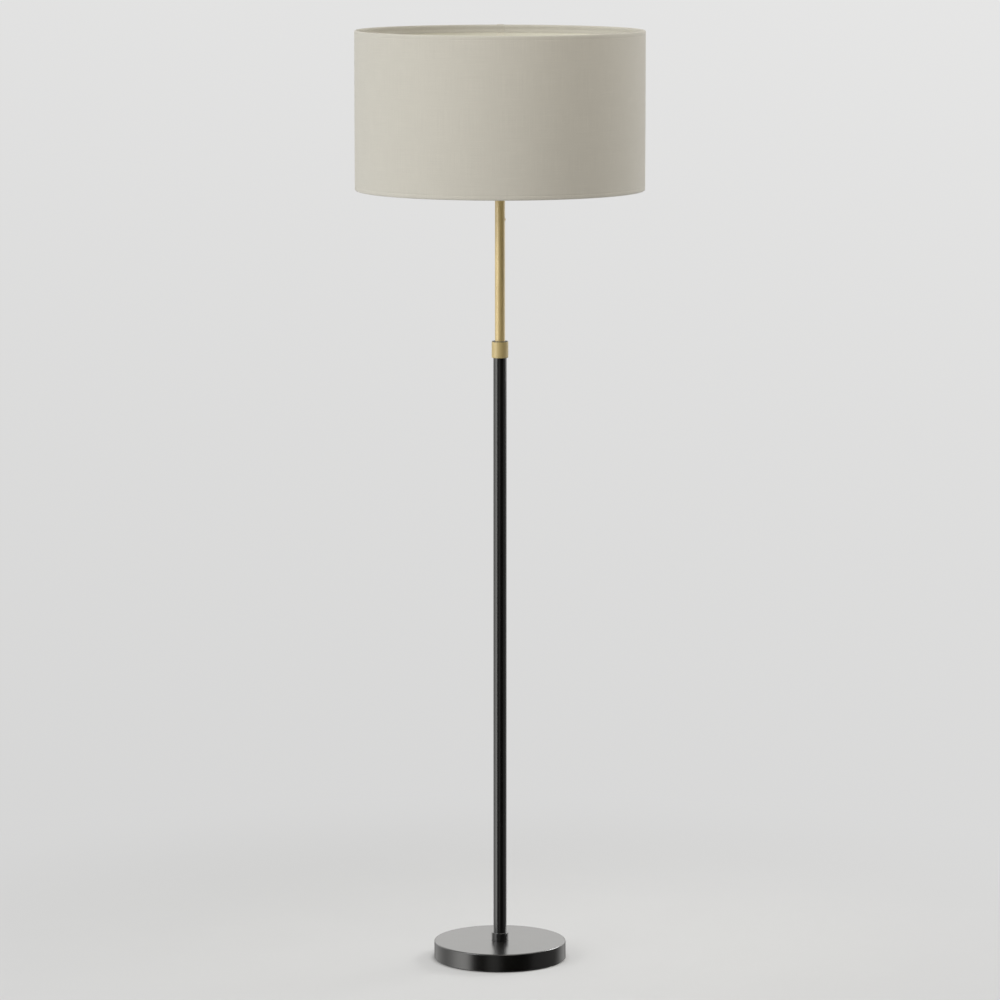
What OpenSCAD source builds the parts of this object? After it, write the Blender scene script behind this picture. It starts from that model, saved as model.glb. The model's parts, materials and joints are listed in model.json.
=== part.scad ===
// Telescopic floor lamp: a drum shade on a brass mast that slides in a black pole on a round base.
// Millimetres, +Z up. The origin is on the floor, on the axis of the pole, and the rear is +Y.

/* [Base] */
// Diameter of the base disc
base_dia = 254; // [180:1:360]
// Height of the base's top face above the floor
base_h = 35; // [32:0.5:60]
// Wall of the pressed base cover
cover_wall = 1.6; // [1:0.1:2.5]
// Height of the cover's lower edge above the floor
cover_lift = 1.5; // [0.5:0.1:2.5]
// Radius of the cover's upper edge
cover_edge_r = 2.4; // [1:0.1:6]
// Radius of the cover's lower edge
cover_foot_r = 0.6; // [0.2:0.1:0.9]
// Thickness of the felt pad
pad_t = 3; // [2:0.5:5]
// How far the pad's edge stays inside the weight's edge
pad_inset = 5; // [2:1:20]
// Thickness of the iron weight's disc
weight_t = 15; // [15:0.5:20]
// Radius of the weight's upper edge
weight_edge_r = 1.5; // [0.5:0.1:3]
// Diameter of the weight's boss, which carries the cover
weight_boss_dia = 64; // [44:1:120]

/* [Base fixing] */
// Thread diameter of the base stud and of the holder's nipple
stud_dia = 10; // [8:0.5:12]
// Bore of the stud and of the nipple, for the flex
stud_bore = 7; // [4:0.5:7.5]
// Thickness of the base nut
nut_t = 5; // [3:0.5:5.5]
// Width of the base nut across its flats
nut_af = 17; // [14:0.5:20]
// Diameter of the base washer
washer_dia = 28; // [22:1:34]
// Thickness of the base washer
washer_t = 2; // [1:0.5:2.5]
// Thickness of the lock washer
lock_washer_t = 1.2; // [0.8:0.1:1.6]
// Gap in the lock washer
lock_washer_gap = 1.5; // [0.5:0.1:3]
// Depth of the pocket in the weight that hides the nut
nut_pocket_h = 11; // [10.5:0.5:14]
// Room in the pocket round the washer
nut_pocket_room = 2; // [1:0.5:4]
// How far the stud ends below the top of the pole's plug
stud_short = 2; // [1:0.5:6]

/* [Cord inlet] */
// Bore of the grommet that a flex passes through
inlet_bore = 7; // [5:0.5:8]
// Wall of the grommet's neck
inlet_neck_wall = 1.6; // [1:0.1:2]
// How far the grommet's flanges stand out from its neck
inlet_lip = 1.8; // [1:0.1:2]
// Thickness of each grommet flange
inlet_lip_t = 1.6; // [1:0.1:2.5]
// Room in the weight round the grommet
inlet_room = 2; // [1:0.5:5]
// Room on each side of a flex in the weight's channel
channel_room = 1; // [0.5:0.5:4]

/* [Pole] */
// Length of the black pole tube
pole_len = 1139; // [500:1:1400]
// Wall of the pole tube
pole_wall = 1.5; // [1:0.1:3]
// Height of the threaded plug in the pole's foot
pole_plug_h = 22; // [12:1:60]
// Wall of the ferrule round the pole's foot
ferrule_wall = 3.65; // [2:0.05:12]
// Height of the ferrule
ferrule_h = 15.5; // [6:0.5:60]
// Radius of the ferrule's upper edge
ferrule_edge_r = 0.9; // [0.3:0.1:1.6]

/* [Lock] */
// Wall of the brass collar outside its thread
collar_wall = 2.4; // [1.5:0.1:6]
// How far the collar reaches down over the pole
collar_skirt = 5.5; // [3:0.5:20]
// Radius of the collar's upper edge
collar_top_r = 0.6; // [0.2:0.1:1]
// Radius of the collar's lower edge
collar_foot_r = 1.2; // [0.3:0.1:1.3]
// Height of the plain bore above the collar's skirt, where its thread runs out
thread_runout = 1.5; // [0.5:0.1:2.5]
// How far the sleeve's threaded head stands out from the pole
head_step = 0.7; // [0.5:0.1:2]
// Height of the sleeve's threaded head
head_h = 10; // [6:0.5:30]
// Wall of the sleeve inside the pole
sleeve_wall = 1.325; // [1:0.005:3]
// Length of the sleeve inside the pole
sleeve_len = 30; // [15:1:60]
// Height of the collet
collet_h = 9; // [5:0.5:20]
// How far the collet's foot stays inside the sleeve's head
collet_step = 0.5; // [0.2:0.1:1]
// How much the collet's radius falls from its foot to its top
collet_taper = 1.4; // [0.5:0.1:1.8]
// Width of the slit that lets the collet close
collet_slit = 1.6; // [0.8:0.1:3]
// Thickness of the black ring on the collar
bush_flange_t = 1.2; // [0.8:0.1:4]
// Height of the black ring's spigot in the collar
bush_spigot_h = 5.8; // [3:0.1:15]
// Wall of the black ring's spigot
bush_wall = 2; // [1:0.1:2.2]

/* [Mast] */
// Diameter of the brass mast tube
mast_dia = 19.05; // [17:0.05:30]
// Wall of the mast tube
mast_wall = 1.2; // [0.8:0.1:1.4]
// Length of the mast tube
mast_len = 491.5; // [400:0.5:700]
// How far the mast stands out of the collar at the height shown
mast_reach = 305.5; // [200:0.5:330]
// Distance of the stop screw below the mast's top
stop_drop = 74; // [20:1:150]
// Thread diameter of the stop screw
stop_screw_dia = 3; // [2:0.5:4]
// Diameter of the stop screw's head
stop_head_dia = 6; // [4.5:0.5:8]
// Height of the stop screw's head
stop_head_h = 1.4; // [1:0.1:2.5]
// Length of the stop screw under its head
stop_shank = 5; // [3:0.5:7]
// Height of the glide on the mast's lower end
glide_h = 22; // [10:1:50]
// Radius of the glide's outer edges
glide_edge_r = 0.6; // [0.2:0.1:0.8]
// Distance of the lower clip from the mast's lower end
clip_foot = 4; // [2:0.5:15]
// Thickness of each clip
clip_t = 1.2; // [0.8:0.1:2]
// Depth of each clip's groove in the mast
clip_groove = 0.4; // [0.2:0.1:0.5]
// How far each clip stands out from the mast
clip_lip = 0.9; // [0.6:0.1:1.2]
// Opening of each clip
clip_gap = 5; // [2:0.5:8]
// Height of the mast plug inside the mast
mast_plug_h = 16; // [8:1:40]
// Thickness of the mast plug's flange
mast_plug_flange = 2; // [1:0.5:5]
// Radius of the mast plug's upper edge
mast_plug_edge_r = 0.5; // [0.2:0.1:0.8]

/* [Lampholder] */
// Thread diameter of the lampholder's skirt
holder_dia = 39.6; // [38:0.1:42]
// Height of the lampholder's cap
cap_h = 18; // [16:0.5:24]
// Diameter of the cap where it meets the nut
cap_foot_dia = 24; // [20:1:30]
// Thickness of the cap's floor
cap_floor = 3.5; // [3:0.5:4.5]
// How far the cap stands out from the skirt
cap_step = 1; // [0.5:0.1:2]
// Wall of the cap and of the skirt
holder_wall = 2; // [1.5:0.1:2.4]
// Height of the skirt
skirt_h = 36; // [34:0.5:42]
// Depth of the skirt's spigot in the cap
skirt_spigot_h = 4; // [2:0.5:6]
// Diameter of the grub screw that locks the cap on its nipple
grub_dia = 2; // [1.5:0.1:2.5]
// How far the grub screw's head stays inside the cap's foot
grub_inset = 0.5; // [0.2:0.1:1]
// How far the nipple ends above the foot of the mast's plug
nipple_short = 3; // [1:0.5:6]
// Thickness of the floor of the holder's insert
insert_floor = 7; // [5:0.5:8]
// Height of the insert's wall above its floor
insert_wall_h = 25; // [20:0.5:26]
// Thickness of the holder's screw shell
screw_shell_t = 0.5; // [0.4:0.1:0.8]
// How far the screw shell ends below the insert's rim
screw_shell_short = 1; // [0.5:0.5:3]
// Thickness of the centre contact's strip
contact_t = 0.6; // [0.4:0.1:0.8]
// Height of the centre contact's tongue above the insert's floor
contact_rise = 2.4; // [1.5:0.1:3]
// Width of the centre contact
contact_w = 6; // [4:0.5:8]
// Length of the centre contact's foot
contact_len = 12; // [10:0.5:14]
// Length of the centre contact's tongue
tongue_len = 7; // [5:0.5:9]
// Diameter of each terminal screw
terminal_dia = 3.5; // [2:0.5:4]
// Length of each terminal screw
terminal_len = 4; // [3:0.5:4.5]
// How far each terminal screw stands out of the insert
terminal_out = 0.5; // [0.2:0.1:1]
// Distance of each terminal screw from the axis
terminal_place = 8.5; // [7:0.5:10]
// Thickness of the holder's lock nut
lock_nut_t = 4; // [3:0.5:8]
// Width of the lock nut across its flats
lock_nut_af = 14; // [13:0.5:18]
// Height of the lower shade ring above the skirt's foot
ring_seat = 3; // [1:0.5:6]
// Height of each shade ring
ring_h = 6; // [3:0.5:8]
// Diameter of each shade ring
ring_dia = 57; // [50:1:60]
// Radius of each shade ring's edges
ring_edge_r = 0.6; // [0.2:0.1:1]
// Finger scallops in each shade ring
ring_scallops = 12; // [6:1:18]
// Radius of each scallop
scallop_r = 2.6; // [2:0.1:4]
// Depth of each scallop
scallop_depth = 1; // [0.5:0.1:1.5]

/* [Bulb] */
// Diameter of the bulb's globe
bulb_dia = 60; // [45:1:80]
// Length of the bulb from its contact to its top
bulb_len = 106; // [98:1:150]
// Diameter of the bulb's screw cap
bulb_cap_dia = 26.4; // [26:0.1:26.8]
// Height of the bulb's screw cap
bulb_cap_h = 25; // [20:1:27]
// Thickness of the bulb's cap and of its glass
bulb_wall = 0.8; // [0.6:0.1:1.2]
// How far the glass reaches down inside the cap
bulb_neck_in = 8; // [4:0.5:14]
// Length of the glass's straight neck above the cap
bulb_neck_out = 2; // [1:0.5:6]
// Radial depth of the cap's chamfer
cap_chamfer = 2.2; // [1:0.1:3]
// Height of the cap's chamfer
cap_chamfer_h = 2.6; // [1:0.1:5]
// Width of the ring at the cap's foot that holds the insulator
cap_ring = 2; // [1:0.1:3]
// Height of the bulb's insulator
bulb_insulator_h = 3; // [2:0.5:5]
// Diameter of the bulb's contact
bulb_contact_dia = 9.6; // [8:0.1:11]
// Thickness of the bulb's contact
bulb_contact_t = 1.2; // [0.8:0.1:2]

/* [Shade] */
// Diameter of the shade
shade_dia = 550; // [300:1:700]
// Height of the shade
shade_h = 302; // [200:1:450]
// Thickness of the shade's fabric
fabric_t = 0.8; // [0.5:0.1:1.5]
// Thickness of the stiff liner inside the fabric
liner_t = 1; // [0.5:0.1:1.5]
// Diameter of the wire in the rims
rim_wire_dia = 3.5; // [3:0.1:5]
// Diameter of the wire of the arms
arm_wire_dia = 3; // [2:0.1:4]
// Number of arms
arms = 3; // [3:1:6]
// How far inside the hub's edge each arm's wire ends
arm_inset = 1.2; // [0.5:0.1:2.5]
// Height of the hub above the shade's lower edge
hub_rise = 51; // [20:1:90]
// Thickness of the hub plate
hub_t = 2; // [1:0.5:4]
// How far the hub plate reaches beyond the shade rings
hub_lip = 3.5; // [2.5:0.5:10]
// Width of the tape over the liner's joint
seam_w = 14; // [8:1:30]
// Thickness of the tape
seam_t = 0.5; // [0.3:0.1:1]

/* [Fits] */
// Radial clearance where a tube runs on a bush
run_gap = 0.05; // [0.02:0.01:0.1]
// Clearance between pieces that are pressed, glued or screwed together
seat_gap = 0.05; // [0.02:0.01:0.1]
// Clearance between pieces that move past each other without guiding
free_gap = 0.3; // [0.3:0.05:0.35]
// Radial clearance of the bulb's cap in the screw shell
bulb_gap = 0.2; // [0.1:0.05:0.3]
// Radial clearance of the shade's hub round the lampholder
hub_gap = 0.7; // [0.3:0.1:1]

/* [Hidden] */
$fn = 96;

// A little more than nothing, so that a cut runs past a face
past = 1;

// Base
base_r = base_dia / 2;
cover_top_z = base_h;
weight_r = base_r - cover_wall - free_gap;
weight_z = pad_t;
weight_top_z = base_h - cover_wall;
nut_seat_z = weight_z + nut_pocket_h;
washer_z = nut_seat_z - washer_t;
lock_washer_z = washer_z - lock_washer_t;
nut_z = lock_washer_z - nut_t;
stud_r = stud_dia / 2;
stud_foot_z = nut_z - seat_gap;
nut_pocket_r = washer_dia / 2 + nut_pocket_room;

// Cord inlet
inlet_neck_r = inlet_bore / 2 + inlet_neck_wall;
inlet_flange_r = inlet_neck_r + inlet_lip;
inlet_z = weight_z + inlet_flange_r + seat_gap;
inlet_inner_y = sqrt(pow(base_r - cover_wall, 2) - pow(inlet_flange_r, 2)) - seat_gap;
inlet_outer_y = base_r + seat_gap;
channel_w = inlet_bore + 2 * channel_room;
channel_top_z = inlet_z + inlet_bore / 2;

// Pole and mast, one inside the other
mast_r = mast_dia / 2;
mast_bore_r = mast_r - mast_wall;
pole_bore_r = mast_r + free_gap + sleeve_wall + seat_gap;
pole_r = pole_bore_r + pole_wall;
pole_foot_z = cover_top_z;
pole_top_z = pole_foot_z + pole_len;
ferrule_bore_r = pole_r + seat_gap;
ferrule_r = ferrule_bore_r + ferrule_wall;

// Lock: sleeve head, collet, gap and bush spigot stand on the pole's top
head_r = pole_r + head_step;
head_top_z = pole_top_z + head_h;
collet_top_z = head_top_z + collet_h;
collet_foot_r = head_r - collet_step;
collet_top_r = collet_foot_r - collet_taper;
bush_spigot_z = collet_top_z + free_gap + seat_gap;
collar_z = pole_top_z - collar_skirt;
collar_top_z = bush_spigot_z + bush_spigot_h;
collar_bore_r = head_r + seat_gap;
collar_r = collar_bore_r + collar_wall;
bush_top_z = collar_top_z + bush_flange_t;
bush_bore_r = mast_r + run_gap;
bush_spigot_r = bush_bore_r + bush_wall;
bush_flange_r = collar_r - collar_top_r;

// Mast at the height shown
mast_top_z = bush_top_z + mast_reach;
mast_foot_z = mast_top_z - mast_len;
stop_z = mast_top_z - stop_drop;
clip_low_z = mast_foot_z + clip_foot;
glide_z = clip_low_z + clip_t + free_gap;
clip_high_z = glide_z + glide_h + free_gap;

// Lampholder, from the mast's top up
lock_nut_z = mast_top_z + mast_plug_flange;
cap_z = lock_nut_z + lock_nut_t;
skirt_z = cap_z + cap_h;
holder_r = holder_dia / 2;
cap_r = holder_r + cap_step;
cap_bore_r = cap_r - holder_wall;
skirt_bore_r = holder_r - holder_wall;
insert_r = skirt_bore_r - seat_gap;
insert_z = skirt_z - skirt_spigot_h;
insert_floor_z = insert_z + insert_floor;
shell_bore_r = bulb_cap_dia / 2 + bulb_gap;
shell_r = shell_bore_r + screw_shell_t;
bulb_z = insert_floor_z + contact_rise;
ring_r = ring_dia / 2;
ring_low_z = skirt_z + ring_seat;
hub_z = ring_low_z + ring_h;
ring_high_z = hub_z + hub_t;

// Bulb
bulb_r = bulb_dia / 2;
bulb_centre_z = bulb_z + bulb_len - bulb_r;
bulb_cap_z = bulb_z + bulb_contact_t + bulb_insulator_h;
bulb_cap_top_z = bulb_cap_z + bulb_cap_h;
bulb_cap_r = bulb_cap_dia / 2;
bulb_neck_r = bulb_cap_r - bulb_wall - seat_gap;
bulb_neck_z = bulb_cap_top_z - bulb_neck_in;
bulb_contact_r = bulb_contact_dia / 2;

// Shade, hung on the hub
shade_r = shade_dia / 2;
shade_z = hub_z - hub_rise;
shade_top_z = shade_z + shade_h;
rim_wire_r = rim_wire_dia / 2;
roll_r = rim_wire_r + seat_gap + fabric_t;
rim_r = shade_r - roll_r;
rim_low_z = shade_z + roll_r;
rim_high_z = shade_top_z - roll_r;
liner_r = shade_r - fabric_t;
liner_bore_r = liner_r - liner_t;
liner_z = rim_low_z + roll_r;
liner_top_z = rim_high_z - roll_r;
hub_r = ring_r + hub_lip;
hub_bore_r = holder_r + hub_gap;
arm_hub_r = hub_r - arm_inset;
arm_hub_z = hub_z + hub_t / 2;
arm_run = rim_r - arm_hub_r;
arm_drop = arm_hub_z - rim_low_z;
arm_len = sqrt(arm_run * arm_run + arm_drop * arm_drop);
arm_tilt = atan2(arm_drop, arm_run);

BLACK = [0.07, 0.07, 0.065];
BRASS = [0.80, 0.66, 0.42];
IRON = [0.28, 0.28, 0.29];
STEEL = [0.66, 0.67, 0.69];
FELT = [0.16, 0.16, 0.17];
NYLON = [0.10, 0.10, 0.10];
WHITE = [0.93, 0.93, 0.91];
PUTTY = [0.76, 0.74, 0.68];

// ---------- shapes used more than once ----------

// Half section of a ring between two radii and two heights, its outer edges rounded
module rounded_section(r_in, r_out, z_low, z_high, foot_r = 0, top_r = 0) {
    z_mid = (z_low + z_high) / 2;
    translate([r_in, z_low + foot_r])
        square([r_out - r_in, z_high - z_low - foot_r - top_r]);
    translate([r_in, z_low])
        square([r_out - r_in - foot_r, z_mid - z_low]);
    translate([r_in, z_mid])
        square([r_out - r_in - top_r, z_high - z_mid]);
    if (foot_r > 0)
        translate([r_out - foot_r, z_low + foot_r])
            circle(r = foot_r);
    if (top_r > 0)
        translate([r_out - top_r, z_high - top_r])
            circle(r = top_r);
}

// Straight tube standing between two heights
module tube(r_in, r_out, z_low, z_high) {
    rotate_extrude()
        translate([r_in, z_low])
            square([r_out - r_in, z_high - z_low]);
}

// Bore along the axis, through a piece between two heights
module bore(r, z_low, z_high) {
    translate([0, 0, z_low - past])
        cylinder(r = r, h = z_high - z_low + 2 * past);
}

// Six-sided nut standing on a height
module hex_nut(af, thread_r, z, t) {
    difference() {
        translate([0, 0, z])
            cylinder(d = af / cos(30), h = t, $fn = 6);
        bore(thread_r + seat_gap, z, z + t);
    }
}

// Open ring of flat wire, its gap to the front
module open_ring(r_in, r_out, z, t, gap) {
    difference() {
        tube(r_in, r_out, z, z + t);
        translate([-gap / 2, -r_out - past, z - past])
            cube([gap, r_out + past, t + 2 * past]);
    }
}

// Ring of round wire
module wire_ring(mid_r, wire_r, z) {
    rotate_extrude()
        translate([mid_r, z])
            circle(r = wire_r);
}

// Straight wire from the hub down to the lower rim, along +X before it is turned
module arm_rod(r) {
    translate([rim_r, 0, rim_low_z])
        rotate([0, arm_tilt - 90, 0])
            cylinder(r = r, h = arm_len);
}

// Every arm's direction, the first one to the rear
module each_arm() {
    for (i = [0 : arms - 1])
        rotate([0, 0, 90 + i * 360 / arms])
            children();
}

// Small round-headed screw: head on the plane z = 0, shank below it, slot across the head
module round_head_screw(thread_d, head_d, head_h, shank) {
    dome_r = (head_d * head_d / 4 + head_h * head_h) / (2 * head_h);
    slot_w = head_d / 6;
    slot_z = head_h * 0.55;
    difference() {
        union() {
            intersection() {
                translate([0, 0, head_h - dome_r])
                    sphere(r = dome_r);
                cylinder(d = head_d, h = head_h + past);
            }
            translate([0, 0, -shank])
                cylinder(d = thread_d, h = shank + head_h / 2);
        }
        translate([-head_d, -slot_w / 2, slot_z])
            cube([2 * head_d, slot_w, head_h]);
    }
}

// ---------- base ----------

module base_cover() {
    least_edge_r = 0.4;
    inner_edge_r = max(cover_edge_r - cover_wall, least_edge_r);
    color(BLACK)
    difference() {
        rotate_extrude()
            difference() {
                rounded_section(0, base_r, cover_lift, cover_top_z, cover_foot_r, cover_edge_r);
                rounded_section(0, base_r - cover_wall, cover_lift - past, weight_top_z, 0, inner_edge_r);
            }
        bore(stud_r + free_gap, weight_top_z, cover_top_z);
        translate([0, 0, inlet_z])
            rotate([-90, 0, 0])
                cylinder(r = inlet_neck_r + seat_gap, h = base_r + past);
    }
}

module base_weight() {
    disc_top_z = weight_z + weight_t;
    notch_w = 2 * (inlet_flange_r + inlet_room);
    notch_y = inlet_inner_y - inlet_lip_t - inlet_room;
    color(IRON)
    difference() {
        rotate_extrude() {
            rounded_section(0, weight_r, weight_z, disc_top_z, 0, weight_edge_r);
            translate([0, weight_z])
                square([weight_boss_dia / 2, weight_top_z - weight_z]);
        }
        bore(stud_r + free_gap, weight_z, weight_top_z);
        translate([0, 0, weight_z - past])
            cylinder(r = nut_pocket_r, h = nut_pocket_h + past);
        translate([-channel_w / 2, 0, weight_z - past])
            cube([channel_w, weight_r, channel_top_z - weight_z + past]);
        translate([-notch_w / 2, notch_y, weight_z - past])
            cube([notch_w, weight_r, weight_t + 2 * past]);
    }
}

module base_pad() {
    color(FELT)
    cylinder(r = weight_r - pad_inset, h = pad_t);
}

module cord_grommet() {
    color(NYLON)
    translate([0, 0, inlet_z])
        rotate([-90, 0, 0])
            rotate_extrude()
                difference() {
                    union() {
                        rounded_section(0, inlet_flange_r, inlet_outer_y, inlet_outer_y + inlet_lip_t,
                                        0, inlet_lip_t / 2);
                        translate([0, inlet_inner_y - inlet_lip_t])
                            square([inlet_flange_r, inlet_lip_t]);
                        translate([0, inlet_inner_y - inlet_lip_t])
                            square([inlet_neck_r, inlet_outer_y - inlet_inner_y + 2 * inlet_lip_t]);
                    }
                    translate([-inlet_bore / 2, inlet_inner_y - inlet_lip_t - past])
                        square([inlet_bore, inlet_outer_y - inlet_inner_y + 2 * inlet_lip_t + 2 * past]);
                }
}

module base_stud() {
    color(STEEL)
    tube(stud_bore / 2, stud_r, stud_foot_z, pole_foot_z + pole_plug_h - stud_short);
}

module base_washer() {
    color(STEEL)
    tube(stud_r + free_gap, washer_dia / 2, washer_z, nut_seat_z);
}

module base_lock_washer() {
    color(STEEL)
    open_ring(stud_r + free_gap, nut_af / 2, lock_washer_z, lock_washer_t, lock_washer_gap);
}

module base_nut() {
    color(STEEL)
    hex_nut(nut_af, stud_r, nut_z, nut_t);
}

module base_ferrule() {
    color(BLACK)
    rotate_extrude()
        rounded_section(ferrule_bore_r, ferrule_r, cover_top_z, cover_top_z + ferrule_h, 0, ferrule_edge_r);
}

// ---------- pole and lock ----------

module pole() {
    color(BLACK)
    tube(pole_bore_r, pole_r, pole_foot_z, pole_top_z);
}

module pole_plug() {
    color(STEEL)
    tube(stud_r + seat_gap, pole_bore_r - seat_gap, pole_foot_z, pole_foot_z + pole_plug_h);
}

module pole_sleeve() {
    color(BRASS)
    rotate_extrude()
        difference() {
            union() {
                translate([0, pole_top_z - sleeve_len])
                    square([pole_bore_r - seat_gap, sleeve_len + head_h / 2]);
                translate([0, pole_top_z])
                    square([head_r, head_h]);
            }
            translate([0, pole_top_z - sleeve_len - past])
                square([mast_r + free_gap, sleeve_len + head_h + 2 * past]);
        }
}

module lock_collet() {
    color(NYLON)
    difference() {
        rotate_extrude()
            polygon([
                [bush_bore_r, head_top_z],
                [collet_foot_r, head_top_z],
                [collet_top_r, collet_top_z],
                [bush_bore_r, collet_top_z]
            ]);
        translate([-collet_slit / 2, -collet_foot_r - past, head_top_z - past])
            cube([collet_slit, collet_foot_r + past, collet_h + 2 * past]);
    }
}

module lock_collar() {
    thread_z = pole_top_z - thread_runout;
    cone_z = head_top_z + free_gap;
    color(BRASS)
    rotate_extrude()
        difference() {
            rounded_section(0, collar_r, collar_z, collar_top_z, collar_foot_r, collar_top_r);
            polygon([
                [-past, collar_z - past],
                [pole_r + free_gap, collar_z - past],
                [pole_r + free_gap, thread_z],
                [collar_bore_r, thread_z],
                [collar_bore_r, cone_z],
                [collet_foot_r + free_gap, cone_z],
                [collet_top_r + free_gap, collet_top_z + free_gap],
                [bush_spigot_r + seat_gap, collet_top_z + free_gap],
                [bush_spigot_r + seat_gap, collar_top_z + past],
                [-past, collar_top_z + past]
            ]);
        }
}

module collar_bush() {
    color(NYLON)
    rotate_extrude() {
        translate([bush_bore_r, bush_spigot_z])
            square([bush_wall, bush_spigot_h + bush_flange_t / 2]);
        rounded_section(bush_bore_r, bush_flange_r, collar_top_z, bush_top_z, 0, bush_flange_t / 3);
    }
}

// ---------- mast ----------

module mast_glide() {
    color(NYLON)
    rotate_extrude()
        rounded_section(bush_bore_r, pole_bore_r - run_gap, glide_z, glide_z + glide_h,
                        glide_edge_r, glide_edge_r);
}

module mast_tube() {
    groove_r = mast_r - clip_groove;
    color(BRASS)
    difference() {
        tube(mast_bore_r, mast_r, mast_foot_z, mast_top_z);
        for (z = [clip_low_z, clip_high_z])
            tube(groove_r, mast_r + past, z - seat_gap, z + clip_t + seat_gap);
        translate([0, 0, stop_z])
            rotate([0, 90, 0])
                cylinder(d = stop_screw_dia + 2 * seat_gap, h = mast_r + past);
    }
}

module glide_clips() {
    color(STEEL)
    for (z = [clip_low_z, clip_high_z])
        open_ring(mast_r - clip_groove + seat_gap, mast_r + clip_lip, z, clip_t, clip_gap);
}

module stop_screw() {
    color(BRASS)
    translate([mast_r + seat_gap, 0, stop_z])
        rotate([0, 90, 0])
            round_head_screw(stop_screw_dia, stop_head_dia, stop_head_h, stop_shank);
}

module mast_plug() {
    color(BRASS)
    difference() {
        rotate_extrude() {
            translate([0, mast_top_z - mast_plug_h])
                square([mast_bore_r - seat_gap, mast_plug_h + mast_plug_flange / 2]);
            rounded_section(0, mast_r, mast_top_z, mast_top_z + mast_plug_flange, 0, mast_plug_edge_r);
        }
        bore(stud_r + seat_gap, mast_top_z - mast_plug_h, mast_top_z + mast_plug_flange);
    }
}

// ---------- lampholder ----------

module holder_nipple() {
    color(STEEL)
    tube(stud_bore / 2, stud_r, mast_top_z - mast_plug_h + nipple_short, cap_z + cap_floor);
}

module holder_lock_nut() {
    color(BRASS)
    hex_nut(lock_nut_af, stud_r, lock_nut_z, lock_nut_t);
}

module holder_cap() {
    foot_r = cap_foot_dia / 2;
    shoulder_r = foot_r + (cap_r - foot_r) * 0.8;
    shoulder_z = cap_z + cap_h * 0.25;
    swell_z = cap_z + cap_h * 0.55;
    color(NYLON)
    difference() {
        rotate_extrude()
            difference() {
                polygon([
                    [0, cap_z],
                    [foot_r, cap_z],
                    [shoulder_r, shoulder_z],
                    [cap_r, swell_z],
                    [cap_r, skirt_z],
                    [0, skirt_z]
                ]);
                polygon([
                    [-past, cap_z + cap_floor],
                    [foot_r - holder_wall, cap_z + cap_floor],
                    [cap_bore_r, swell_z],
                    [cap_bore_r, skirt_z + past],
                    [-past, skirt_z + past]
                ]);
            }
        bore(stud_r + seat_gap, cap_z, cap_z + cap_floor);
        translate([0, 0, cap_z + cap_floor / 2])
            rotate([0, 90, 0])
                cylinder(d = grub_dia + 2 * seat_gap, h = cap_r);
    }
}

module holder_grub_screw() {
    length = cap_foot_dia / 2 - stud_r - grub_inset;
    slot_w = 0.4;
    slot_h = 0.8;
    color(STEEL)
    translate([stud_r + seat_gap, 0, cap_z + cap_floor / 2])
        rotate([0, 90, 0])
            difference() {
                cylinder(d = grub_dia, h = length);
                translate([-grub_dia, -slot_w / 2, length - slot_h])
                    cube([2 * grub_dia, slot_w, slot_h + past]);
            }
}

module holder_skirt() {
    color(NYLON)
    rotate_extrude() {
        translate([skirt_bore_r, skirt_z])
            square([holder_wall, skirt_h]);
        translate([skirt_bore_r, skirt_z - skirt_spigot_h])
            square([cap_bore_r - seat_gap - skirt_bore_r, skirt_spigot_h]);
    }
}

module holder_insert() {
    color(WHITE)
    difference() {
        tube(0, insert_r, insert_z, insert_floor_z + insert_wall_h);
        bore(shell_r + seat_gap, insert_floor_z + past, insert_floor_z + insert_wall_h);
        for (side = [-1, 1])
            translate([side * terminal_place, 0, insert_z - past])
                cylinder(d = terminal_dia + 2 * seat_gap, h = past + terminal_len);
    }
}

module holder_screw_shell() {
    color(STEEL)
    tube(shell_bore_r, shell_r, insert_floor_z, insert_floor_z + insert_wall_h - screw_shell_short);
}

module holder_contact() {
    color(BRASS)
    translate([-contact_w / 2, -contact_w / 2, insert_floor_z]) {
        cube([contact_len, contact_w, contact_t]);
        translate([0, 0, contact_rise - contact_t])
            cube([tongue_len, contact_w, contact_t]);
        cube([contact_t, contact_w, contact_rise]);
    }
}

module terminal_screws() {
    slot_w = 0.6;
    slot_h = 0.8;
    color(BRASS)
    for (side = [-1, 1])
        translate([side * terminal_place, 0, insert_z - terminal_out])
            difference() {
                cylinder(d = terminal_dia, h = terminal_len);
                translate([-terminal_dia, -slot_w / 2, -past])
                    cube([2 * terminal_dia, slot_w, past + slot_h]);
            }
}

// Threaded ring that clamps the shade's hub, with scallops for the fingers
module shade_ring(z) {
    difference() {
        rotate_extrude()
            rounded_section(holder_r + seat_gap, ring_r, z, z + ring_h, ring_edge_r, ring_edge_r);
        for (i = [0 : ring_scallops - 1])
            rotate([0, 0, i * 360 / ring_scallops])
                translate([ring_r + scallop_r - scallop_depth, 0, z - past])
                    cylinder(r = scallop_r, h = ring_h + 2 * past);
    }
}

module shade_ring_lower() {
    color(NYLON)
    shade_ring(ring_low_z);
}

module shade_ring_upper() {
    color(NYLON)
    shade_ring(ring_high_z);
}

// ---------- bulb ----------

module bulb_cap() {
    foot_r = bulb_cap_r - cap_chamfer;
    chamfer_z = bulb_cap_z + cap_chamfer_h;
    color(STEEL)
    rotate_extrude()
        polygon([
            [foot_r - cap_ring, bulb_cap_z],
            [foot_r, bulb_cap_z],
            [bulb_cap_r, chamfer_z],
            [bulb_cap_r, bulb_cap_top_z],
            [bulb_cap_r - bulb_wall, bulb_cap_top_z],
            [bulb_cap_r - bulb_wall, chamfer_z + bulb_wall / 2],
            [foot_r - cap_ring, bulb_cap_z + bulb_wall]
        ]);
}

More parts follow.
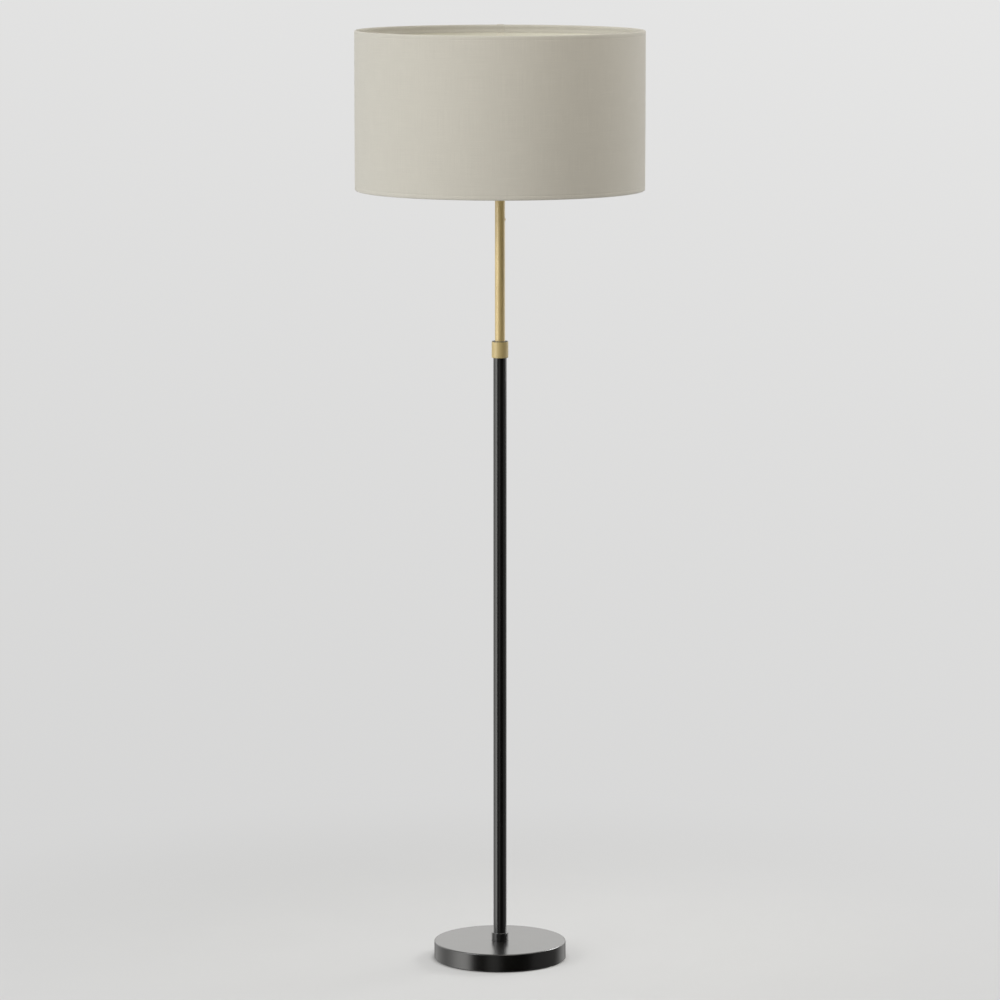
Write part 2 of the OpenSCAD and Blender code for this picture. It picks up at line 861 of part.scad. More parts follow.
module bulb_insulator() {
    lip = 0.4;
    color(NYLON)
    rotate_extrude()
        polygon([
            [0, bulb_cap_z],
            [0, bulb_cap_z - bulb_insulator_h],
            [bulb_contact_r + lip, bulb_cap_z - bulb_insulator_h],
            [bulb_cap_r - cap_chamfer - lip, bulb_cap_z]
        ]);
}

module bulb_contact() {
    color(STEEL)
    translate([0, 0, bulb_z])
        cylinder(r1 = bulb_contact_r - bulb_contact_t, r2 = bulb_contact_r, h = bulb_contact_t);
}

// Half outline of the glass: the globe from its top round to where a straight neck meets it
module globe_section(inset) {
    r = bulb_r - inset;
    neck_r = bulb_neck_r - inset;
    fall = bulb_centre_z - bulb_cap_top_z - bulb_neck_out;
    lean = atan2(neck_r, fall);
    touch = acos(r / sqrt(fall * fall + neck_r * neck_r));
    end_angle = -90 + lean + touch;
    steps = 24;
    polygon(concat(
        [for (i = [0 : steps])
            let (a = 90 - (90 - end_angle) * i / steps)
            [i == 0 ? 0 : r * cos(a), bulb_centre_z + r * sin(a)]],
        [
            [neck_r, bulb_centre_z - fall],
            [neck_r, bulb_neck_z - (inset > 0 ? past : 0)],
            [0, bulb_neck_z - (inset > 0 ? past : 0)]
        ]
    ));
}

module bulb_globe() {
    color(WHITE)
    rotate_extrude()
        difference() {
            globe_section(0);
            globe_section(bulb_wall);
        }
}

// ---------- shade ----------

module shade_carrier() {
    color(STEEL)
    union() {
        wire_ring(rim_r, rim_wire_r, rim_low_z);
        each_arm()
            arm_rod(arm_wire_dia / 2);
        tube(hub_bore_r, hub_r, hub_z, hub_z + hub_t);
    }
}

module top_ring() {
    color(STEEL)
    wire_ring(rim_r, rim_wire_r, rim_high_z);
}

module shade_liner() {
    color(WHITE)
    tube(liner_bore_r, liner_r - seat_gap, liner_z, liner_top_z);
}

// Straight wall with a roll round the wire at each rim
module shade_fabric() {
    color(PUTTY)
    difference() {
        rotate_extrude()
            difference() {
                union() {
                    translate([liner_r, rim_low_z])
                        square([fabric_t, rim_high_z - rim_low_z]);
                    for (z = [rim_low_z, rim_high_z])
                        translate([rim_r, z])
                            circle(r = roll_r);
                }
                for (z = [rim_low_z, rim_high_z])
                    translate([rim_r, z])
                        circle(r = rim_wire_r + seat_gap);
            }
        each_arm()
            arm_rod(arm_wire_dia / 2 + seat_gap);
    }
}

module seam_tape() {
    tape_r = liner_bore_r - free_gap;
    color(WHITE)
    intersection() {
        tube(tape_r - seam_t, tape_r, liner_z, liner_top_z);
        translate([-seam_w / 2, 0, liner_z - past])
            cube([seam_w, shade_r, shade_h]);
    }
}

base_cover();
base_weight();
base_pad();
cord_grommet();
base_stud();
base_washer();
base_lock_washer();
base_nut();
base_ferrule();
pole();
pole_plug();
pole_sleeve();
lock_collet();
lock_collar();
collar_bush();
mast_glide();
mast_tube();
glide_clips();
stop_screw();
mast_plug();
holder_nipple();
holder_lock_nut();
holder_cap();
holder_grub_screw();
holder_skirt();
holder_insert();
holder_screw_shell();
holder_contact();
terminal_screws();
shade_ring_lower();
shade_ring_upper();
bulb_cap();
bulb_insulator();
bulb_contact();
bulb_globe();
shade_carrier();
top_ring();
shade_liner();
shade_fabric();
seam_tape();
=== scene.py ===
"""Looks of a telescopic floor lamp: drum shade, brass mast, black pole and round base.

Metres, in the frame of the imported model: +Z up, the origin on the floor under the pole, the rear at
+Y. Sizes that a piece shares with its node are measured on the node; the others are named fields.
"""
import json
import logging
import math
from collections.abc import Sequence
from dataclasses import dataclass, field, replace
from enum import Enum
from typing import ClassVar

import bmesh
import bpy
import numpy as np
from mathutils import Matrix, Vector


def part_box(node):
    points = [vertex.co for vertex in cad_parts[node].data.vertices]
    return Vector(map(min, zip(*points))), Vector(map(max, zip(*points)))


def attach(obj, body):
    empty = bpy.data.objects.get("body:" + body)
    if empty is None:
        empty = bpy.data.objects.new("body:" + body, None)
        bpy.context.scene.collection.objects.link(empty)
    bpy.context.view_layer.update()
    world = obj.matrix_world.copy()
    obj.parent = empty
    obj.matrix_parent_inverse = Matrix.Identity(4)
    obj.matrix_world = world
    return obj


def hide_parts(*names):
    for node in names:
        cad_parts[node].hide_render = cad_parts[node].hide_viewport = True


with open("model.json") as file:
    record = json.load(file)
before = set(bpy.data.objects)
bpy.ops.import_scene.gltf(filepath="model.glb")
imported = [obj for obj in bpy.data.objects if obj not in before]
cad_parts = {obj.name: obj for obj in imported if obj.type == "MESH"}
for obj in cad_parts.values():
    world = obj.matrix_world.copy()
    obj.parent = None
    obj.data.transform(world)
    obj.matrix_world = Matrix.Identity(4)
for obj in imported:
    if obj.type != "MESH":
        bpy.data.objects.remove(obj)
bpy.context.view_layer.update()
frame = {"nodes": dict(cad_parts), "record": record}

MM = 0.001
Colour = Place = tuple[float, float, float]
Outline = list[tuple[float, float]]
Piece = bpy.types.Object
Tree = bpy.types.NodeTree
Socket = bpy.types.NodeSocket
log = logging.getLogger("lamp")


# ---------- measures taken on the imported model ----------


@dataclass(frozen=True)
class Span:
    """The radii about the Z axis and the heights that a node takes up."""

    bore: float
    radius: float
    low: float
    high: float


def span(node: str) -> Span:
    """Measures a node.

    Args:
        node: The node's name.

    Returns:
        Its smallest and largest radius about the Z axis, and its lowest and highest point.
    """
    reach = [math.hypot(v.co.x, v.co.y) for v in frame["nodes"][node].data.vertices]
    low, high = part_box(node)
    return Span(min(reach), max(reach), low.z, high.z)


def body_of(node: str) -> str:
    """The name of the body that a node belongs to."""
    bodies = frame["record"]["behaviour"]["bodies"]
    return next(body for body, members in bodies.items() if node in members)


# ---------- sections and turned shapes ----------


@dataclass(frozen=True)
class Corner:
    """A corner of a turned section, and the radius that rounds it."""

    r: float
    z: float
    fillet: float = 0.0


ARC_STEP = math.radians(11)
SUPPORT = 0.25 * MM
SHARP = math.radians(35)
FINE_EDGE = 0.2 * MM
EDGE = 0.3 * MM
BOLD_EDGE = 0.4 * MM


def arc(centre: tuple[float, float], radius: float, start: float, end: float) -> Outline:
    """Points along an arc of a section.

    Args:
        centre: The arc's centre, as radius and height.
        radius: The arc's radius.
        start: The angle of its first point, in radians.
        end: The angle of its last point, in radians.

    Returns:
        The points, both ends included.
    """
    steps = max(2, math.ceil(abs(end - start) / ARC_STEP))
    angles = [start + (end - start) * i / steps for i in range(steps + 1)]
    return [(centre[0] + radius * math.cos(a), centre[1] + radius * math.sin(a)) for a in angles]


def rounded(corners: Sequence[Corner]) -> Outline:
    """Rounds the corners of a closed section.

    Args:
        corners: The corners in order round the section.

    Returns:
        The closed outline, with an arc at each corner that has a fillet.
    """
    points: Outline = []
    for i, here in enumerate(corners):
        corner = Vector((here.r, here.z))
        if here.fillet <= 0:
            points.append((here.r, here.z))
            continue
        before, after = corners[i - 1], corners[(i + 1) % len(corners)]
        leg_in = (Vector((before.r, before.z)) - corner).normalized()
        leg_out = (Vector((after.r, after.z)) - corner).normalized()
        half = leg_in.angle(leg_out) / 2
        centre = corner + (leg_in + leg_out).normalized() * here.fillet / math.sin(half)
        first = corner + leg_in * here.fillet / math.tan(half) - centre
        last = corner + leg_out * here.fillet / math.tan(half) - centre
        start = math.atan2(first.y, first.x)
        turn = (math.atan2(last.y, last.x) - start + math.pi) % math.tau - math.pi
        points += arc((centre.x, centre.y), here.fillet, start, start + turn)
    return points


def supported(outline: Outline, longest: float) -> Outline:
    """Adds points to the long sides of a section, so that its rounded edges keep their shading.

    Args:
        outline: The closed section.
        longest: The longest side that the result has between its support points.

    Returns:
        The closed section with a point near both ends of each side, and even steps between them.
    """
    result: Outline = []
    for i, start in enumerate(outline):
        end = outline[(i + 1) % len(outline)]
        result.append(start)
        length = math.dist(start, end)
        if length < 4 * SUPPORT:
            continue
        steps = max(1, math.ceil((length - 2 * SUPPORT) / longest))
        inner = length - 2 * SUPPORT
        for along in (SUPPORT + inner * k / steps for k in range(steps + 1)):
            share = along / length
            result.append((start[0] + (end[0] - start[0]) * share, start[1] + (end[1] - start[1]) * share))
    return result


def tube(size: Span, edge: float = 0.0, bore_edge: float | None = None) -> Outline:
    """The section of a plain tube or ring.

    Args:
        size: Its radii and heights.
        edge: The radius that rounds its outer edges.
        bore_edge: The radius that rounds the edges of its bore, if it is another one.

    Returns:
        The closed outline.
    """
    inner = edge if bore_edge is None else bore_edge
    return rounded([Corner(size.bore, size.low, inner), Corner(size.radius, size.low, edge),
                    Corner(size.radius, size.high, edge), Corner(size.bore, size.high, inner)])


def mesh_object(name: str, points: Sequence[Sequence[float]], faces: Sequence[Sequence[int]]) -> Piece:
    """Makes an object of points and faces, and links it to the scene.

    Args:
        name: The piece's name.
        points: The corners, in metres.
        faces: The faces, as indices of their corners.

    Returns:
        The object, at the origin.
    """
    mesh = bpy.data.meshes.new(name)
    mesh.from_pydata(points, [], faces)
    piece = bpy.data.objects.new(name, mesh)
    bpy.context.scene.collection.objects.link(piece)
    return piece


def smoothed(piece: Piece) -> Piece:
    """Shades a piece smooth between its sharp edges.

    Args:
        piece: The piece.

    Returns:
        The same piece.
    """
    piece.data.shade_smooth()
    piece.data.set_sharp_from_angle(angle=SHARP)
    return piece


def close_up(piece: Piece) -> Piece:
    """Merges the doubles of a piece, turns its faces outwards and smooths it.

    Args:
        piece: The piece.

    Returns:
        The same piece.
    """
    made = bmesh.new()
    made.from_mesh(piece.data)
    bmesh.ops.remove_doubles(made, verts=made.verts, dist=0.5e-6)
    bmesh.ops.dissolve_degenerate(made, dist=0.5e-6, edges=made.edges)
    bmesh.ops.recalc_face_normals(made, faces=made.faces)
    made.to_mesh(piece.data)
    made.free()
    return smoothed(piece)


def turned(name: str, outline: Outline, segments: int = 96, longest: float = 1.0) -> Piece:
    """Turns a closed section about the Z axis.

    Args:
        name: The piece's name.
        outline: The closed section, as radii and heights.
        segments: Steps round the axis.
        longest: The longest side of a face along the section.

    Returns:
        The turned piece, closed, its faces outwards.
    """
    section = supported(outline, longest)
    count = len(section)
    points = [
        (r * math.cos(math.tau * i / segments), r * math.sin(math.tau * i / segments), z)
        for i in range(segments)
        for r, z in section
    ]
    faces = [
        (i * count + j, (i + 1) % segments * count + j,
         (i + 1) % segments * count + (j + 1) % count, i * count + (j + 1) % count)
        for i in range(segments)
        for j in range(count)
    ]
    return close_up(mesh_object(name, points, faces))


def placed(piece: Piece, matrix: Matrix) -> Piece:
    """Moves a piece's mesh, so that the object itself stays at the origin."""
    piece.data.transform(matrix)
    return piece


def settled(piece: Piece) -> Piece:
    """Turns what a piece's modifiers make into its plain mesh, and removes the modifiers.

    Args:
        piece: The piece.

    Returns:
        The same piece.
    """
    graph = bpy.context.evaluated_depsgraph_get()
    mesh = bpy.data.meshes.new_from_object(piece.evaluated_get(graph))
    piece.modifiers.clear()
    old = piece.data
    piece.data = mesh
    mesh.name = piece.name
    bpy.data.meshes.remove(old)
    return piece


def cut_by(piece: Piece, cutter: Piece, operation: str = "DIFFERENCE") -> Piece:
    """Cuts a piece with another one, which is used up.

    Args:
        piece: The piece that is cut.
        cutter: The closed shape that cuts it.
        operation: What the boolean does, as Blender names it.

    Returns:
        The cut piece.
    """
    modifier = piece.modifiers.new("cut", "BOOLEAN")
    modifier.operation = operation
    modifier.solver = "EXACT"
    modifier.object = cutter
    settled(piece)
    mesh = cutter.data
    bpy.data.objects.remove(cutter)
    bpy.data.meshes.remove(mesh)
    return smoothed(piece)


def block(name: str, low: Sequence[float], high: Sequence[float]) -> Piece:
    """A rectangular cutter between two corners.

    Args:
        name: The cutter's name.
        low: Its lowest corner.
        high: Its highest corner.

    Returns:
        The cutter.
    """
    corners = [(x, y, z) for x in (low[0], high[0]) for y in (low[1], high[1]) for z in (low[2], high[2])]
    sides = [(0, 1, 3, 2), (4, 6, 7, 5), (0, 4, 5, 1), (2, 3, 7, 6), (0, 2, 6, 4), (1, 5, 7, 3)]
    return close_up(mesh_object(name, corners, sides))


# ---------- node trees ----------


class Value:
    """An output of a node, with which sums are written as with numbers."""

    def __init__(self, graph: "Graph", socket: Socket) -> None:
        """Keeps the tree and the output."""
        self.graph = graph
        self.socket = socket

    def __add__(self, other: object) -> "Value":
        """This and another."""
        return self.graph.math("ADD", self, other)

    def __sub__(self, other: object) -> "Value":
        """This less another."""
        return self.graph.math("SUBTRACT", self, other)

    def __rsub__(self, other: object) -> "Value":
        """Another less this."""
        return self.graph.math("SUBTRACT", other, self)

    def __mul__(self, other: object) -> "Value":
        """This times another."""
        return self.graph.math("MULTIPLY", self, other)

    def __truediv__(self, other: object) -> "Value":
        """This over another."""
        return self.graph.math("DIVIDE", self, other)

    def __rtruediv__(self, other: object) -> "Value":
        """Another over this."""
        return self.graph.math("DIVIDE", other, self)

    def __abs__(self) -> "Value":
        """This without its sign."""
        return self.graph.math("ABSOLUTE", self)


class Graph:
    """A node tree, with short ways to add its nodes and to join them."""

    def __init__(self, tree: Tree) -> None:
        """Starts with an empty tree."""
        self.tree = tree
        tree.nodes.clear()

    def feed(self, socket: Socket, value: object) -> None:
        """Joins a socket to an output, or sets its own value.

        Args:
            socket: The socket.
            value: The output, or the value that is the same everywhere.
        """
        if isinstance(value, Value):
            self.tree.links.new(value.socket, socket)
        else:
            socket.default_value = value

    def add(self, kind: str, inputs: dict | None = None, **settings: object) -> bpy.types.Node:
        """Adds a node.

        Args:
            kind: The node's type.
            inputs: What goes into its sockets, by name or number.
            **settings: Its own settings.

        Returns:
            The node.
        """
        node = self.tree.nodes.new(kind)
        for key, value in settings.items():
            setattr(node, key, value)
        for key, value in (inputs or {}).items():
            self.feed(node.inputs[key], value)
        return node

    def value(self, kind: str, inputs: dict | None = None, output: int | str = 0,
              **settings: object) -> Value:
        """Adds a node and gives one of its outputs."""
        return Value(self, self.add(kind, inputs, **settings).outputs[output])

    def math(self, operation: str, a: object, b: object = 0.0) -> Value:
        """The result of a sum on one or two numbers."""
        return self.value("ShaderNodeMath", {0: a, 1: b}, operation=operation)

    def vector(self, operation: str, a: object, b: object = (0.0, 0.0, 0.0)) -> Value:
        """The result of a sum on one or two vectors."""
        return self.value("ShaderNodeVectorMath", {0: a, 1: b}, operation=operation)

    def split(self, vector: Value) -> tuple[Value, ...]:
        """The three parts of a vector."""
        return tuple(Value(self, part) for part in self.add("ShaderNodeSeparateXYZ", {0: vector}).outputs)

    def joined(self, x: object, y: object, z: object) -> Value:
        """A vector of three parts."""
        return self.value("ShaderNodeCombineXYZ", {0: x, 1: y, 2: z})

    def spread(self, value: object, low: object, high: object, start: float = 0.0, end: float = 1.0,
               smooth: bool = False) -> Value:
        """Maps a value from one range to another.

        Args:
            value: The value.
            low: The lower end of its range.
            high: The upper end of its range.
            start: The result at the lower end.
            end: The result at the upper end.
            smooth: Whether the result eases in and out.

        Returns:
            The mapped value, kept within its range.
        """
        kind = "SMOOTHSTEP" if smooth else "LINEAR"
        inputs = {0: value, 1: low, 2: high, 3: start, 4: end}
        return self.value("ShaderNodeMapRange", inputs, interpolation_type=kind)


class ShaderGraph(Graph):
    """A material's or the world's node tree."""

    def place(self) -> Value:
        """The place on the piece, in metres."""
        return self.value("ShaderNodeTexCoord", output="Object")

    def stretched(self, vector: Value, by: Sequence[float]) -> Value:
        """A place, stretched along the axes."""
        return self.vector("MULTIPLY", vector, tuple(by))

    def noise(self, vector: Value, scale: float, detail: float = 2.0, rough: float = 0.5) -> Value:
        """Soft noise from 0 to 1.

        Args:
            vector: Where it is read.
            scale: How many clouds there are in a unit.
            detail: How many finer layers it has.
            rough: How strong the finer layers are.

        Returns:
            The noise.
        """
        inputs = {"Vector": vector, "Scale": scale, "Detail": detail, "Roughness": rough}
        return self.value("ShaderNodeTexNoise", inputs)

    def cells(self, vector: Value, scale: float) -> Value:
        """The distance to the nearest of many scattered points."""
        return self.value("ShaderNodeTexVoronoi", {"Vector": vector, "Scale": scale}, "Distance")

    def blend(self, share: object, first: object, second: object) -> Value:
        """A colour between two colours."""
        pair = [(*colour, 1.0) if isinstance(colour, tuple) else colour for colour in (first, second)]
        return self.value("ShaderNodeMix", {0: share, 6: pair[0], 7: pair[1]}, 2, data_type="RGBA")

    def toned(self, share: object, colour: Colour, dark: float, pale: float) -> Value:
        """A colour that runs between two tones of itself."""
        return self.blend(share, shaded(colour, dark), shaded(colour, pale))

    def bump(self, height: object, depth: float, under: Value | None = None) -> Value:
        """A surface's normal.

        Args:
            height: The relief, from 0 to 1.
            depth: How deep the relief is, in metres.
            under: The normal that it is laid on, if it isn't the plain one.

        Returns:
            The normal.
        """
        inputs = {"Strength": 1.0, "Distance": depth, "Height": height}
        if under is not None:
            inputs["Normal"] = under
        return self.value("ShaderNodeBump", inputs)

    def seen(self) -> Value:
        """Tells what the camera sees, also through glass, from other light.

        Returns:
            1 for what is seen and 0 for the rest.
        """
        path = self.add("ShaderNodeLightPath").outputs
        rays = (Value(self, path[f"Is {kind} Ray"]) for kind in ("Camera", "Transmission"))
        return self.math("MAXIMUM", *rays)


def shaded(colour: Colour, by: float) -> Colour:
    """A colour made darker or lighter by a factor."""
    return tuple(min(1.0, part * by) for part in colour)


MATERIALS: dict[str, bpy.types.Material] = {}


@dataclass(frozen=True)
class Finish:
    """A surface that takes its colour, gloss and relief from nodes."""

    name: str
    colour: Colour
    roughness: float

    def make(self) -> bpy.types.Material:
        """Makes the material, or finds the one that was made before.

        Returns:
            The material.
        """
        if self.name not in MATERIALS:
            material = bpy.data.materials.new(self.name)
            material.use_nodes = True
            graph = ShaderGraph(material.node_tree)
            surface = graph.value("ShaderNodeBsdfPrincipled", self.sockets(graph))
            graph.add("ShaderNodeOutputMaterial", {"Surface": surface})
            MATERIALS[self.name] = material
        return MATERIALS[self.name]

    def sockets(self, graph: ShaderGraph) -> dict[str, object]:
        """What goes into the surface's sockets, by name.

        Args:
            graph: The material's tree, in which the finish makes its nodes.

        Returns:
            The outputs that vary over the surface, and the values that are the same all over it.
        """
        raise NotImplementedError


@dataclass(frozen=True)
class Coated(Finish):
    """A finish that may lie under a clear coat."""

    coat: float = 0.0
    coat_roughness: float = 0.2
    coat_ior: float = 1.5

    def coat_sockets(self) -> dict[str, float]:
        """The coat's own sockets."""
        return {"Coat Weight": self.coat, "Coat Roughness": self.coat_roughness, "Coat IOR": self.coat_ior}


class Grain(Enum):
    """The way the fine lines of a worked metal run, as the stretch of their pattern per metre."""

    AROUND = (60.0, 60.0, 7000.0)
    NONE = (900.0, 900.0, 900.0)


@dataclass(frozen=True)
class Metal(Coated):
    """Bare or plated metal with polishing lines, faint clouds and handling marks."""

    grain: Grain = Grain.AROUND
    line_depth: float = 0.006 * MM
    line_gloss: float = 0.10
    cloud: float = 0.12
    cloud_scale: float = 28.0
    cloud_tone: float = 0.72
    speck_scale: float = 700.0
    speck_share: float = 0.10
    speck_tone: float = 0.45
    metallic: float = 1.0
    coat_roughness: float = 0.25

    def sockets(self, graph: ShaderGraph) -> dict[str, object]:
        """Lines for gloss and relief, and clouds for colour and gloss.

        Args:
            graph: The material's tree.

        Returns:
            What goes into the sockets, by name.
        """
        place = graph.place()
        lines = graph.noise(graph.stretched(place, self.grain.value), 1.0, 3.0, 0.6)
        clouds = graph.noise(place, self.cloud_scale, 4.0, 0.55)
        specks = graph.spread(graph.noise(place, self.speck_scale), 0.62, 0.72)
        tint = graph.blend(clouds * (self.cloud * 2), self.colour, shaded(self.colour, self.cloud_tone))
        half = self.line_gloss / 2
        gloss = graph.spread(lines, 0.3, 0.7, self.roughness - half, self.roughness + half)
        handled = graph.spread(clouds, 0.35, 0.7, -0.03, 0.05)
        return {
            "Base Color": graph.blend(specks * self.speck_share, tint, shaded(self.colour, self.speck_tone)),
            "Roughness": gloss + handled,
            "Normal": graph.bump(lines, self.line_depth),
            "Metallic": self.metallic,
            **self.coat_sockets(),
        }


@dataclass(frozen=True)
class Lacquer(Coated):
    """Sprayed or moulded gloss over a dark or light ground, with orange peel and dust."""

    ior: float = 1.5
    peel: float = 0.004 * MM
    peel_scale: float = 550.0
    swell_scale: float = 60.0
    cloud_scale: float = 22.0
    gloss_drift: float = 0.07
    dust: float = 0.05
    dust_scale: float = 1900.0
    dust_matt: float = 0.6
    dust_colour: Colour = (0.35, 0.34, 0.32)

    def sockets(self, graph: ShaderGraph) -> dict[str, object]:
        """Orange peel for relief, and clouds and dust for colour and gloss.

        Args:
            graph: The material's tree.

        Returns:
            What goes into the sockets, by name.
        """
        place = graph.place()
        peel = graph.noise(place, self.peel_scale, 2.0, 0.45)
        swell = graph.noise(place, self.swell_scale)
        clouds = graph.noise(place, self.cloud_scale, 5.0, 0.6)
        dust = graph.spread(graph.noise(place, self.dust_scale, 3.0, 0.7), 0.60, 0.78, 0.0, self.dust)
        tint = graph.toned(graph.spread(clouds, 0.3, 0.7), self.colour, 0.86, 1.12)
        gloss = graph.spread(clouds, 0.3, 0.75, self.roughness - self.gloss_drift / 3,
                             self.roughness + self.gloss_drift * 2 / 3)
        return {
            "Base Color": graph.blend(dust, tint, self.dust_colour),
            "Roughness": gloss + dust * self.dust_matt,
            "Normal": graph.bump(peel, self.peel, graph.bump(swell, self.peel * 2.0)),
            "IOR": self.ior,
            **self.coat_sockets(),
        }


@dataclass(frozen=True)
class Cloth(Finish):
    """Plain weave on the piece's own map, whose unit is the metre, with uneven yarns."""

    yarn: float = 0.62 * MM
    depth: float = 0.10 * MM
    drift: Sequence[float] = (900.0, 9.0, 1.0)
    slub: Sequence[float] = (1500.0, 14.0, 1.0)
    mottle_scale: float = 30.0
    sheen: float = 0.25
    sheen_roughness: float = 0.5
    ior: float = 1.4

    def threads(self, graph: ShaderGraph, along: Value, across: Value) -> tuple[Value, Value]:
        """The weave's height, and which of the two yarns lies on top.

        Args:
            graph: The material's tree.
            along: The place along the cloth, in yarns.
            across: The place up the cloth, in yarns.

        Returns:
            The height from 0 to 1, and 1 where the upright yarn is on top.
        """
        waves = [graph.math("SINE", place * math.pi) for place in (along, across)]
        over = graph.spread(waves[0] * waves[1], -0.35, 0.35, smooth=True)
        rounds = [graph.math("POWER", abs(wave), 0.7) for wave in waves]
        return over * rounds[0] + (1.0 - over) * rounds[1], over

    def uneven(self, graph: ShaderGraph, flat: Value, stretch: Sequence[float],
               *layers: float) -> list[Value]:
        """Noise that is drawn out along the cloth's height, and noise that is drawn out along its length.

        Args:
            graph: The material's tree.
            flat: The place on the cloth.
            stretch: The first one's stretch. The second one's is the same the other way round.
            *layers: The noise's detail and roughness.

        Returns:
            Both.
        """
        pair = stretch, (stretch[1], stretch[0], stretch[2])
        return [graph.noise(graph.stretched(flat, by), 1.0, *layers) for by in pair]

    def sockets(self, graph: ShaderGraph) -> dict[str, object]:
        """The weave for relief, and the yarns' own tones with painted shade in the weave's hollows for
        colour.

        Args:
            graph: The material's tree.

        Returns:
            What goes into the sockets, by name.
        """
        u, v, _ = graph.split(graph.value("ShaderNodeUVMap", uv_map="cloth"))
        flat = graph.joined(u, v, 0.0)
        drift_u, drift_v = self.uneven(graph, flat, self.drift, 2.0)
        height, over = self.threads(graph, u / self.yarn + drift_v, v / self.yarn + drift_u)
        slub_up, slub_round = self.uneven(graph, flat, self.slub, 3.0, 0.6)
        slub = over * slub_up + (1.0 - over) * slub_round
        mottle = graph.noise(flat, self.mottle_scale, 5.0, 0.6)
        light = graph.toned(graph.spread(slub, 0.3, 0.7), self.colour, 0.90, 1.08)
        mottled = graph.blend(graph.spread(mottle, 0.3, 0.7, 0.0, 0.5), light, shaded(self.colour, 0.95))
        # Painted shade: the weave's low places are darkened, as shade between the yarns.
        painted_weave_shade = graph.spread(height, 0.0, 0.55, 0.30, 0.0)
        return {
            "Base Color": graph.blend(painted_weave_shade, mottled, shaded(self.colour, 0.6)),
            "Roughness": graph.spread(slub, 0.2, 0.8, self.roughness, self.roughness + 0.08),
            "Normal": graph.bump(height, self.depth, graph.bump(slub, self.depth * 0.8)),
            "Sheen Weight": self.sheen,
            "Sheen Roughness": self.sheen_roughness,
            "IOR": self.ior,
        }


@dataclass(frozen=True)
class Fibre(Finish):
    """Matted or pressed fibres: felt, paper tape, board."""

    fibre: Sequence[float] = (1400.0, 1400.0, 1400.0)
    wisp_scale: float = 350.0
    mottle_scale: float = 40.0
    depth: float = 0.08 * MM
    contrast: float = 0.25
    sheen: float = 0.0

    def sockets(self, graph: ShaderGraph) -> dict[str, object]:
        """Fibres for relief and colour.

        Args:
            graph: The material's tree.

        Returns:
            What goes into the sockets, by name.
        """
        place = graph.place()
        strands = graph.noise(graph.stretched(place, self.fibre), 1.0, 4.0, 0.7)
        wisps = graph.noise(place, self.wisp_scale, 5.0, 0.75)
        mottle = graph.noise(place, self.mottle_scale, 3.0)
        fuzz = strands * wisps
        tint = graph.toned(graph.spread(fuzz, 0.12, 0.42), self.colour, 1 - self.contrast, 1 + self.contrast)
        return {
            "Base Color": graph.blend(graph.spread(mottle, 0.3, 0.7, 0.0, 0.35), tint, self.colour),
            "Roughness": graph.spread(wisps, 0.2, 0.8, self.roughness, 1.0),
            "Normal": graph.bump(fuzz, self.depth),
            "Sheen Weight": self.sheen,
        }


@dataclass(frozen=True)
class CastIron(Finish):
    """Sand-cast iron under thin oil, with pits and a rusty bloom."""

    sand_scale: float = 900.0
    pit_scale: float = 260.0
    rust_scale: float = 45.0
    rust_share: float = 0.5
    rust_colour: Colour = (0.16, 0.065, 0.03)
    depth: float = 0.12 * MM

    def sockets(self, graph: ShaderGraph) -> dict[str, object]:
        """The sand's grain for relief, and rust for colour and gloss.

        Args:
            graph: The material's tree.

        Returns:
            What goes into the sockets, by name.
        """
        place = graph.place()
        sand = graph.noise(place, self.sand_scale, 5.0, 0.65)
        pits = graph.spread(graph.cells(place, self.pit_scale), 0.0, 0.28)
        rust = graph.spread(graph.noise(place, self.rust_scale, 6.0, 0.7), 0.52, 0.72)
        return {
            "Base Color": graph.blend(rust * self.rust_share, graph.toned(sand, self.colour, 0.7, 1.3),
                                      self.rust_colour),
            "Roughness": graph.spread(rust, 0.0, 1.0, self.roughness, 0.9),
            "Metallic": graph.spread(rust, 0.0, 1.0, 0.85, 0.1),
            "Normal": graph.bump(sand * pits, self.depth),
        }


@dataclass(frozen=True)
class Opal(Finish):
    """White-flashed glass: a soft milky body under a bright skin."""

    flash_scale: float = 60.0
    ripple_scale: float = 25.0
    ripple: float = 0.05 * MM
    milk: float = 0.12
    milk_depth: float = 1 * MM
    milk_spread: Colour = (1.0, 0.9, 0.8)
    skin: float = 0.6
    skin_roughness: float = 0.05

    def sockets(self, graph: ShaderGraph) -> dict[str, object]:
        """Faint clouds in the flashing for colour and gloss, and ripples in the glass for relief.

        Args:
            graph: The material's tree.

        Returns:
            What goes into the sockets, by name.
        """
        place = graph.place()
        clouds = graph.noise(place, self.flash_scale, 3.0)
        return {
            "Base Color": graph.toned(clouds, self.colour, 0.97, 1.02),
            "Roughness": graph.spread(clouds, 0.3, 0.7, self.roughness, self.roughness + 0.05),
            "Normal": graph.bump(graph.noise(place, self.ripple_scale, 1.0), self.ripple),
            "Subsurface Weight": self.milk,
            "Subsurface Scale": self.milk_depth,
            "Subsurface Radius": self.milk_spread,
            "Coat Weight": self.skin,
            "Coat Roughness": self.skin_roughness,
        }


